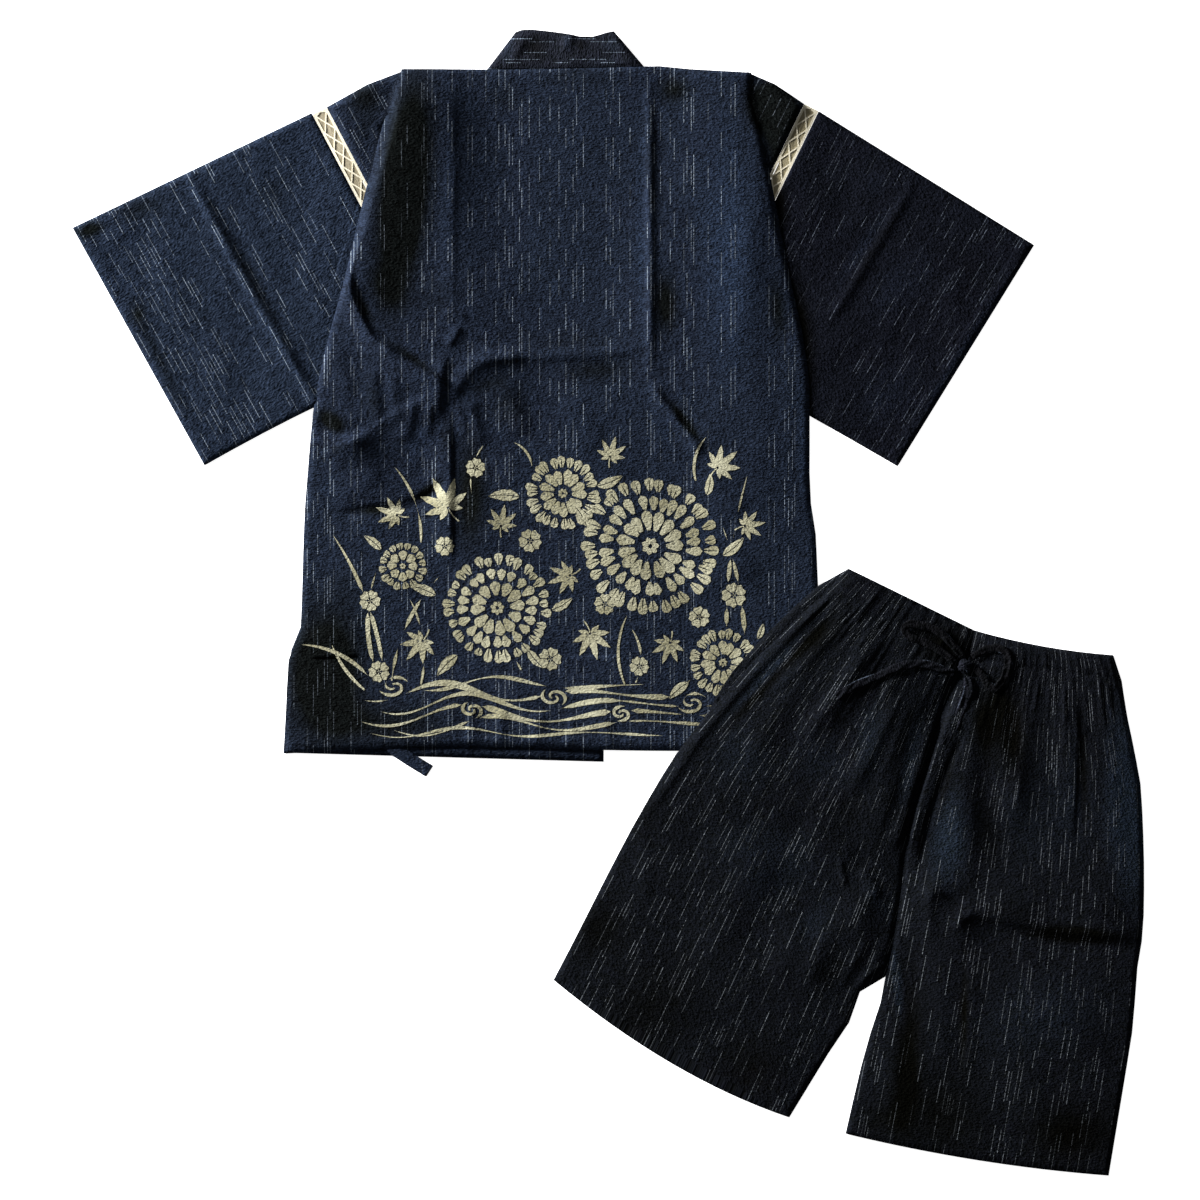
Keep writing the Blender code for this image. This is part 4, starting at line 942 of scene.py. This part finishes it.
def drawLeaf(art, leaf):
    foot, length, way = leaf
    t = np.linspace(0, 1, max(6, round(length / motifs["step"])))
    spine = bentLine(foot, way, length, 24, len(t))
    across = sideways(spine)
    half = 0.17 * length * np.sin(np.pi * t**0.8) * (1 + 0.1 * np.sin(26 * t))
    for side in (-1, 1):
        addRibbon(art, spine + side * across * (half / 2 + 0.45)[:, None], half)


def drawFlow(art):
    for (x0, y0), (x1, y1), sway, count, width in motifs["streams"]:
        x = np.linspace(x0, x1, round((x1 - x0) / motifs["step"]))
        t = (x - x0) / (x1 - x0)
        height = sway * np.sin(math.tau * count * t + 0.02 * y0) * (0.6 + 0.4 * np.sin(4.1 * t + 1))
        y = y0 + (y1 - y0) * t + height
        line = np.stack([x, y], 1)
        swell = 0.62 + 0.38 * np.sin(19 * t + y0)
        for curlX, curlY, radius, _ in motifs["curls"]:
            swell = swell * ease((np.hypot(x - curlX, y - curlY) - radius * 0.95) / 7)
        addRibbon(art, line, width * swell * np.minimum(1, 9 * t) * np.minimum(1, 9 * (1 - t)) * clearOf(line))
    for x, y, radius, start in motifs["curls"]:
        for arm in (0, math.pi):
            t = np.linspace(0, 1, 26)
            angle = start + arm + 4.6 * t
            far = radius * (1 - 0.86 * t)
            line = np.stack([x + far * np.cos(angle), y + 0.72 * far * np.sin(angle)], 1)
            addRibbon(art, line, 4.2 * (1 - 0.55 * t) * np.minimum(1, 6 * t) * clearOf(line))
    for foot, way, length, bend, width in motifs["blades"]:
        line = bentLine(foot, way, length, bend, max(8, round(length / motifs["step"])))
        t = np.linspace(0, 1, len(line))
        addRibbon(art, line, width * np.sin(np.pi * np.clip(0.12 + 0.88 * t, 0, 1)) ** 0.7 * clearOf(line))


ink = {
    "pale": "#96937c", "dull": "#7a765e", "bare": "#4c4d48",  # full film, thin film and the cloth under it
    "depth": 0.7,
    "patches": 0.021,  # of thinner film, to the millimetre
    "worn": (0.35, 0.62),  # noise from full to thin film
    "missed": (0.26, 0.17),  # share of the hollows that stay bare
    "edge": (-0.03, 0.07),
}


def makePrintMaterial():
    # pigment ink, screen printed: a matt film on the crests of the cloth that misses some of its hollows
    m = newMaterial("pigment_screen_print")
    inMm = grainOf(m)
    relief, grains = crinkle(m, inMm)
    thin = noise(m, inMm, ink["patches"], 2.0)
    missed = calc(m, "MULTIPLY_ADD", thin, *ink["missed"])
    cover = remap(m, calc(m, "SUBTRACT", grains, missed), *ink["edge"])
    film = mixColour(m, remap(m, thin, *ink["worn"]), opaque(ink["pale"]), opaque(ink["dull"]))
    colour = mixColour(m, cover, opaque(ink["bare"]), film)
    return finishMaterial(m, bumped(m, colour, relief, 1.0, ink["depth"]), {
        "Roughness": 0.9, "Specular IOR Level": 0.0})


def makePrint():
    art = {"places": [], "faces": []}
    rng = random.Random(7)
    for flower in motifs["flowers"]:
        drawFlower(art, flower, rng)
    for maple in motifs["maples"]:
        drawMaple(art, maple)
    for blossom in motifs["blossoms"]:
        drawBlossom(art, blossom)
    for leaf in motifs["leaves"]:
        drawLeaf(art, leaf)
    drawFlow(art)
    height = topOf(backCloth)
    places = []
    for x, y in art["places"]:
        z = height(x, y)
        places.append((x, y, (motifs["level"] if z is None else z) + motifs["lift"]))
    item = addMesh("back_print", places, art["faces"], makePrintMaterial(), "cream_lace", uv=art["places"])
    shape = bmesh.new()
    shape.from_mesh(item.data)
    bmesh.ops.remove_doubles(shape, verts=shape.verts, dist=0.02 * mm)
    bmesh.ops.dissolve_degenerate(shape, edges=shape.edges, dist=0.02 * mm)
    for face in shape.faces:
        if face.normal.z < 0:
            face.normal_flip()
    shape.to_mesh(item.data)
    shape.free()
    return item


backPrint = makePrint()
print("print made:", len(backPrint.data.polygons), "faces")


# fronts: under the back, their hems and edges just in sight

front = {
    "cell": 14.0,
    "passes": 3,
    "material": cottons["jacket"],
    "slot": "navy_cotton",
    "slack": waves(47, (80, 120, 190), 0.35),
    "underCreases": ((-170, -150, -170, 500, 0, 6, 10, -0.6), (60, -150, 60, 500, 0, 6, 10, -0.6)),
}


def frontRelief(x, y, region):
    return creaseHeight(x, y, front["underCreases"]) + front["slack"](x, y)


def straightGrain(region, x, y):
    return x, y


front["relief"] = frontRelief
front["grain"] = straightGrain
for frontName in ("jacket_front_outer", "jacket_front_inner"):
    frontCloth = makeShell(frontName, front, below=True)
print("jacket fronts made")


# collar band: stands up behind the neck and falls over at each side

collar = {
    "loft": (1.0, 5.0),
    "cell": 2.6,
    "passes": 5,
    "material": cottons["collar"],
    "slot": "navy_cotton",
    "creases": (
        (-51, 601, -47, 632, -1, 3, 4, 1.2), (-38, 601, -33, 630, 1, 4, 4, -0.9),
        (-110, 590, -93, 625, -2, 5, 6, 1.2), (24, 590, 8, 625, 1, 5, 7, 1.0),
        (-119, 597, -75, 595, 2, 4, 5, 0.5), (-20, 592, 13, 595, -2, 4, 5, 0.5),
    ),
    # patches of painted shade, and of painted light where the amount is below nought
    "paintedShades": (
        (-80, 610, 22, 20, -6, 0.7), (-30, 612, 11, 7, -73, 0.7), (-111, 606, 21, 8, 69, -0.7),
        (-45, 615, 14, 6, -86, -0.8), (5, 613, 19, 13, -3, -0.5), (-9, 593, 44, 13, -1, -0.3),
    ),
    "slack": waves(71, (30, 44, 70), 0.15),
}


def collarRelief(x, y, region):
    return creaseHeight(x, y, collar["creases"]) + collar["slack"](x, y)


def collarGrain(region, x, y):
    standing = y > 560
    return np.where(standing, y, x), np.where(standing, x, y)


collar["relief"] = collarRelief
collar["grain"] = collarGrain
collarCloth = makeShell("jacket_collar", collar, below=True)
print("collar made")


# sleeves: flattened tubes with one pressed crease each

sleeveHem = (15.0, 0.6)  # depth and thickness
sleeves = {
    "sleeve_left": {
        "seed": 83,
        "cuff": ((-589, 412), (-444, 151)),
        "lace": ((-326.5, 538), (-187, 274)),
        "span": 290.0,
        "cotton": "sleeve",
        "creases": (
            (-300, 185, -484, 515, 4, 5.5, 7, 3.2), (-348, 333, -405, 437, 2, 9, 8, 0.7),
            (-306, 300, -339, 377, 2, 8, 9, 0.8), (-504, 300, -528, 344, 2, 8, 8, 0.9),
            (-460, 300, -493, 399, 3, 14, 12, 0.8), (-416, 223, -444, 289, -3, 14, 12, 0.7),
            (-372, 443, -389, 498, 3, 12, 9, 0.7), (-554, 399, -515, 415, 1, 7, 8, 0.8),
        ),
        # patches of painted shade, and of painted light where the amount is below nought
        "paintedShades": (
            (-569, 410, 24, 13, 16, 1.3), (-515, 433, 46, 22, 18, 0.6), (-516, 318, 20, 14, 68, 0.7),
            (-495, 272, 114, 10, -63, 0.5), (-390, 353, 133, 10, -61, 0.55), (-536, 356, 25, 14, -67, -0.15),
            (-380, 519, 52, 14, 24, -0.2), (-367, 454, 30, 24, 22, 0.3), (-446, 316, 31, 18, -63, 0.2),
            (-476, 387, 14, 10, -61, -0.1),
        ),
        "flat": (0.598, 0.29),
    },
    "sleeve_right": {
        "seed": 89,
        "cuff": ((468, 393), (318, 150)),
        "lace": ((231.5, 540), (101, 272)),
        "span": 280.0,
        # the jacket's cloth made darker: painted shade
        "cotton": "paintedShadeSleeve",
        "creases": (
            (231, 291, 345, 480, -3, 5, 5.5, 1.5), (387, 300, 374, 366, 2, 12, 12, 0.8),
            (321, 201, 277, 278, 3, 12, 14, 0.7), (288, 476, 266, 388, 2, 12, 12, 0.6),
            (414, 333, 365, 245, -2, 14, 12, 0.6), (321, 344, 299, 278, 2, 10, 12, 0.6),
        ),
        # patches of painted shade, and of painted light where the amount is below nought
        "paintedShades": (
            (186, 443, 56, 19, -80, 1.1), (210, 294, 105, 24, -82, 1.3), (238, 195, 28, 15, -11, 0.4),
            (290, 386, 96, 8, 58, 0.5), (277, 388, 79, 10, 56, -0.55), (321, 349, 66, 37, 48, -0.45),
            (310, 228, 66, 44, 48, -0.45), (389, 273, 148, 10, 58, -0.9), (398, 368, 48, 29, -47, 0.25),
            (238, 454, 52, 29, -58, 0.2), (293, 459, 17, 15, -72, -0.35), (200, 536, 20, 22, -56, 0.2),
        ),
        "flat": (0.572, 0.28),
    },
}


def makeSleeve(name, look):
    slack = waves(look["seed"], (70, 110, 150), 0.22)
    (x0, y0), (x1, y1) = look["cuff"]
    length = math.dist((x0, y0), (x1, y1))

    def relief(x, y, region):
        toCuff = np.abs(lineDistance(x, y, look["cuff"]))
        hem = sleeveHem[1] * ease((sleeveHem[0] - toCuff) / 2.0)
        above = creaseHeight(x, y, look["creases"]) + slack(x, y) + hem
        return np.where(region == 1, above, -0.2 + 0.4 * slack(x, y))

    def grain(region, x, y):
        toCuff = np.abs(lineDistance(x, y, look["cuff"]))
        toLace = np.abs(lineDistance(x, y, look["lace"]))
        along = ((x - x0) * (x1 - x0) + (y - y0) * (y1 - y0)) / length
        return look["span"] * toCuff / np.maximum(toCuff + toLace, 1), along

    look.update(cell=3.4, passes=5, loft=(1.2, 5.0), relief=relief, grain=grain,
                material=cottons[look["cotton"]], slot="navy_cotton")
    item = makeShell(name, look, below=True)


for sleeveName, sleeveLook in sleeves.items():
    makeSleeve(sleeveName, sleeveLook)
print("sleeves made")


# shorts: gathered on elastic at the waist, each leg a front over a back

shorts = {
    "left": {
        "side": ((264, 37), (244, 17), (195, -27), (156, -69), (112, -120), (78, -162),
                 (33, -236), (-1, -300), (-38, -373), (-60, -415)),
        "inner": ((403, -31), (393, -58), (371, -115), (345, -190), (312, -290), (270, -400), (199, -566)),
        "width": 300.0,
        "length": 560.0,
    },
    "right": {
        "side": ((555, -58), (563, -80), (569, -118), (578, -162), (586, -210), (589, -304),
                 (588, -362), (583, -388), (576, -471), (568, -521), (550, -630)),
        "inner": ((403, -31), (395, -58), (374, -110), (350, -184), (328, -265), (305, -370), (280, -490),
                  (261, -584)),
        "width": 300.0,
        "length": 570.0,
    },
    "gathers": 48,  # fine ones across each front, of uneven length
    "casing": 0.052,  # share of a leg's length down to its stitching
    "stitching": (1.3, 2.2),  # depth and width of the groove it pulls
    "hem": (22.0, 0.6),  # depth and thickness
    "loft": (1.6, 6.0),
    "slack": waves(101, (60, 90, 140), 0.25),
    "creases": (  # on either front: from, to, bow, width on the left and right of that way, height
        (268, -10, 172, -107, 3, 5, 7, 1.6), (303, -24, 198, -164, 4, 7, 9, 1.6),
        (321, -94, 261, -217, 3, 9, 7, 2.0), (290, -63, 233, -147, -3, 8, 9, 1.3),
        (101, -202, 211, -246, 6, 20, 26, 1.6), (211, -246, 277, -285, 4, 14, 16, 1.4),
        (253, -279, 260, -314, 1, 3, 4, 1.3), (275, -290, 299, -327, 2, 5, 6, 1.4),
        (90, -272, 189, -318, 6, 24, 30, 1.4), (35, -239, 41, -338, 2, 8, 9, 0.9),
        (211, -349, 178, -426, 3, 12, 18, 1.5), (253, -340, 211, -415, 2, 14, 16, 0.7),
        (308, -367, 261, -442, 2, 5, 5, 0.9), (290, -365, 253, -426, -1, 5, 5, 0.8),
        (275, -420, 303, -395, 1, 3, 4, 1.3), (101, -415, 35, -481, 4, 30, 30, 0.9),
        (167, -371, 123, -481, -4, 26, 30, 0.9), (520, -96, 514, -279, 2, 12, 4, -1.8),
        (497, -96, 499, -217, 1, 10, 8, 0.9), (447, -140, 442, -263, -2, 14, 20, 1.4),
        (562, -90, 572, -173, 1, 8, 6, 1.0), (354, -305, 353, -378, 0, 6, 6, 0.8),
        (398, -378, 393, -536, 1, 12, 5, 1.3), (336, -360, 327, -536, 2, 12, 16, -1.4),
        (365, -382, 369, -525, 0, 14, 10, 0.9), (431, -107, 433, -195, 1, 8, 12, 1.2),
        (323, -299, 374, -327, 3, 4, 5, 1.3), (497, -382, 486, -536, 3, 24, 26, 0.8),
        (442, -437, 435, -569, -3, 22, 24, 0.7),
    ),
    "routes": (  # those along curved lines
        (((257, 20), (217, -19), (158, -81), (101, -149), (79, -182), (35, -246)), (4, 4), (5, 5), (1.8, 1.2)),
        (((363, -120), (352, -157), (338, -193), (325, -237), (312, -277)), (3.5, 3.5), (13, 11), (4.0, 3.2)),
        (((389, -96), (378, -120), (363, -157), (351, -193), (337, -237), (323, -279)), (18, 15), (3.5, 3.5),
          (4.4, 3.4)),
        (((393, -138), (371, -186), (356, -228), (345, -272), (342, -303)), (4, 4), (3.5, 3.5), (-1.8, -1.8)),
        (((401, -160), (399, -217), (398, -272), (396, -325)), (8, 7), (22, 22), (0.6, 1.0)),
        (((380, -356), (400, -343), (442, -349), (497, -360), (590, -369)), (16, 16), (7, 7), (3.6, 3.4)),
        (((393, -324), (399, -339), (381, -355), (376, -362)), (5, 5), (5, 5), (0.9, 0.6)),
    ),
    "paintedShades": (  # patches of painted shade, and of painted light where the amount is below nought
        (228, -38, 52, 22, 41, 0.91), (176, -89, 125, 9, 47, 1.08), (181, -71, 112, 9, 47, -1.3),
        (180, -74, 45, 44, -47, -0.33), (145, -168, 58, 51, -41, -0.6), (233, -173, 62, 44, -45, -0.52),
        (282, -135, 42, 21, 67, -0.45), (178, -278, 92, 51, -17, -0.6), (167, -316, 45, 30, -14, -0.39),
        (46, -448, 78, 103, -45, 0.65), (-9, -360, 55, 51, 37, 0.8), (35, -223, 50, 38, 90, 0.52),
        (156, -509, 61, 59, -27, 0.65), (227, -349, 52, 24, 58, -0.52), (244, -404, 40, 24, 34, 0.39),
        (260, -228, 35, 30, 39, 0.39), (170, -140, 42, 15, 53, 0.33), (297, -327, 38, 18, -59, -0.52),
        (288, -162, 56, 18, 79, -0.6), (332, -173, 67, 12, 79, -0.96), (370, -47, 52, 38, -18, 1.04),
        (431, -118, 56, 38, -79, 1.2), (418, -250, 66, 20, -86, 0.6), (444, -162, 55, 29, -88, 0.9),
        (412, -146, 50, 18, -81, 1.04), (374, -259, 74, 33, 88, -2.1), (366, -216, 79, 7, 73, 0.9),
        (480, -228, 57, 29, -73, 0.15), (522, -190, 94, 8, -88, 0.96), (511, -190, 83, 11, -88, -0.42),
        (572, -223, 149, 37, -87, -3.2), (480, -454, 63, 110, -75, -0.6), (486, -234, 83, 88, -82, -0.55),
        (544, -250, 55, 13, -87, -0.2), (511, -365, 80, 16, -4, 1.7), (446, -342, 52, 21, -11, 0.39),
        (318, -421, 61, 9, -83, -1.6), (329, -498, 138, 26, 86, 1.05), (365, -564, 90, 75, -43, 0.8),
        (391, -454, 94, 9, 89, 1.08), (373, -448, 77, 11, -89, -0.12), (535, -580, 55, 89, -84, 0.65),
        (469, -432, 63, 44, -52, -0.05), (491, -586, 66, 59, -24, 0.65), (299, -569, 35, 44, -72, 0.65),
    ),
}


def legSpot(side, u, v):
    outer, inner = (smoothRoute(shorts[side][edge], 8.0) for edge in ("side", "inner"))
    x0, y0 = (np.interp(v, outer[1] / outer[1][-1], outer[0][:, k]) for k in (0, 1))
    x1, y1 = (np.interp(v, inner[1] / inner[1][-1], inner[0][:, k]) for k in (0, 1))
    return x0 + (x1 - x0) * u, y0 + (y1 - y0) * u


def legPlace(side, x, y):
    # share across the leg, 0 at its side seam, and share of the way down it, by Newton's steps
    u, v = np.full(len(x), 0.5), np.full(len(x), 0.5)
    d = 0.01
    for _ in range(16):
        px, py = legSpot(side, u, v)
        ux, uy = (a - b for a, b in zip(legSpot(side, u + d, v), (px, py)))
        vx, vy = (a - b for a, b in zip(legSpot(side, u, v + d), legSpot(side, u, v - d)))
        det = ux * vy - uy * vx
        det = np.where(np.abs(det) < 1e-3, 1e-3, det)
        ex, ey = x - px, y - py
        u = np.clip(u + 0.8 * d * (ex * vy - ey * vx) / det, -0.3, 1.8)
        v = np.clip(v + 1.6 * d * (ux * ey - uy * ex) / det, 0.0, 1.0)
    return u, v


def legGathers(side, seed):
    rng = random.Random(seed)
    rows = []
    for i in range(shorts["gathers"]):
        u = (i + rng.uniform(0.2, 0.8)) / shorts["gathers"]
        top = shorts["casing"] * rng.choice((0.0, 0.0, 1.0, 1.3))
        reach = rng.uniform(0.05, 0.12) + rng.choice((0, 0, 0, 0.06, 0.14))
        (x0, y0), (x1, y1) = legSpot(side, u, top), legSpot(side, u + rng.uniform(-0.02, 0.02), top + reach)
        rows.append((float(x0), float(y0), float(x1), float(y1), rng.uniform(-1.5, 1.5),
                     rng.uniform(1.5, 2.6), rng.uniform(1.5, 2.8), rng.uniform(0.3, 1.0)))
    return rows


def makeLeg(name, seed):
    side = name.split("_")[-1]
    isFront = "front" in name
    creases = list(shorts["creases"]) + legGathers(side, seed) if isFront else []
    routes = shorts["routes"] if isFront else ()
    length, width = shorts[side]["length"], shorts[side]["width"]
    (dip, wide), (depth, thick) = shorts["stitching"], shorts["hem"]

    def relief(x, y, region):
        u, v = legPlace(side, x, y)
        casing = -dip * np.exp(-(((v - shorts["casing"]) * length / wide) ** 2)) * (region == 1)
        hem = thick * ease((v - 1 + depth / length) * length / 2.0)
        return creaseHeight(x, y, creases) + routeHeight(x, y, routes) + shorts["slack"](x, y) + casing + hem

    def grain(region, x, y):
        u, v = legPlace(side, x, y)
        return u * width + 7, -v * length

    look = {
        "cell": 3.6 if isFront else 9.0, "passes": 60 if isFront else 2,
        "paintedShades": shorts["paintedShades"] if isFront else (),
        "loft": shorts["loft"] if isFront else (1.6, 5.0),
        "material": cottons["shorts"], "slot": "deep_navy_cotton", "relief": relief, "grain": grain,
    }
    item = makeShell(name, look, below=not isFront)


for legName, seed in (("shorts_back_left", 200), ("shorts_back_right", 201),
                      ("shorts_front_left", 202), ("shorts_front_right", 203)):
    makeLeg(legName, seed)
print("shorts made")


# ties: narrow folded straps, stitched along one edge

tie = {"cell": 3.0, "passes": 3, "material": cottons["jacket"], "slot": "navy_cotton",
       "slack": waves(151, (16, 24, 40), 0.3)}
tie["relief"] = lambda x, y, region: tie["slack"](x, y)
tie["grain"] = straightGrain
for tieName in ("tie_front_inner", "tie_front_outer", "tie_side_inner", "tie_side_outer"):
    tieCloth = makeShell(tieName, tie, below=True)
print("ties made")


# lace: the crossing threads are the part's own, given a woven finish, with a tan sheet between them that stands
# for the shaded layer and floor in the gaps: painted shade

lace = {
    "upper": ("#d8d1ba", "#a89e84"),  # high and low tone of the threads
    # the lower tape: the same lace darkened as painted shade
    "under": ("#a0957a", "#6d634b"),
    # the sheets in the gaps between the crossing threads: painted shade
    "net_left": ("#837960", "#665d47"),
    "net_right": ("#857b5c", "#665d44"),  # painted shade of the seam it lies in, a little more olive
    "ribs": 1.3,
    "band": 0.9,  # from the tape's edge to the edge of the shade sheet
    "sunk": 0.55,  # the shade sheet, below the top of the crossing threads
    "gapSheetThick": 0.2,
    "window": 24.0,  # length of tape whose edges set the net's width
    "rows": 60,
    "columns": 6,
}


def makeLaceMaterial(layer):
    m = newMaterial(f"mercerised_cotton_lace_{layer}")  # lustrous cream threads, woven in narrow ribs
    inMm = stretch(m, addNode(m, "ShaderNodeTexCoord", {}, out="Object"), (1000, 1000, 1000))
    ribs = noise(m, inMm, 1 / lace["ribs"], 3.0)
    pale, dull = (opaque(colour) for colour in lace[layer])
    return finishMaterial(m, bumped(m, mixColour(m, ribs, dull, pale), ribs, 0.8, 0.4), {
        "Roughness": 0.6, "Sheen Weight": 0.2})


def makeShadedGapSheet(name, material):
    # a thin tan sheet that follows the crossing threads just below their tops: painted shade in the gaps
    upper = [v.co / mm for v in nodes[name].data.vertices if v.normal.z > 0.1]
    threads = flatTree([place.xy for place in upper])
    places = np.array([place.xy for place in upper])
    centre = places.mean(axis=0)
    along = np.linalg.svd(places - centre, full_matrices=False)[2][0]
    side = np.array([-along[1], along[0]])
    reach, width = (places - centre) @ along, (places - centre) @ side
    rings = []
    for s in np.linspace(reach.min() + 1.0, reach.max() - 1.0, lace["rows"]):
        row, local = [], width[np.abs(reach - s) < lace["window"]]
        for t in np.linspace(local.min() + lace["band"], local.max() - lace["band"], lace["columns"]):
            x, y = centre + along * s + side * t
            near = threads.find_n((x, y, 0), 4)
            weights = [1 / (0.5 + far) ** 2 for _, _, far in near]
            top = sum(w * upper[i].z for w, (_, i, _) in zip(weights, near)) / sum(weights)
            row.append((x, y, top - lace["sunk"]))
        rings += row + [(x, y, z - lace["gapSheetThick"]) for x, y, z in reversed(row)]
    faces = ringFaces(lace["rows"], 2 * lace["columns"])
    addMesh(name + "_net", rings, faces, material, "cream_lace", smooth=False)


laceMaterials = {layer: makeLaceMaterial(layer) for layer in ("upper", "under", "net_left", "net_right")}
for side in ("left", "right"):
    for half, layer in (("back", "upper"), ("front", "under")):
        nodes[f"lace_{half}_{side}"].data.materials.clear()
        nodes[f"lace_{half}_{side}"].data.materials.append(laceMaterials[layer])
    makeShadedGapSheet(f"lace_back_{side}", laceMaterials[f"net_{side}"])
print("lace finished")
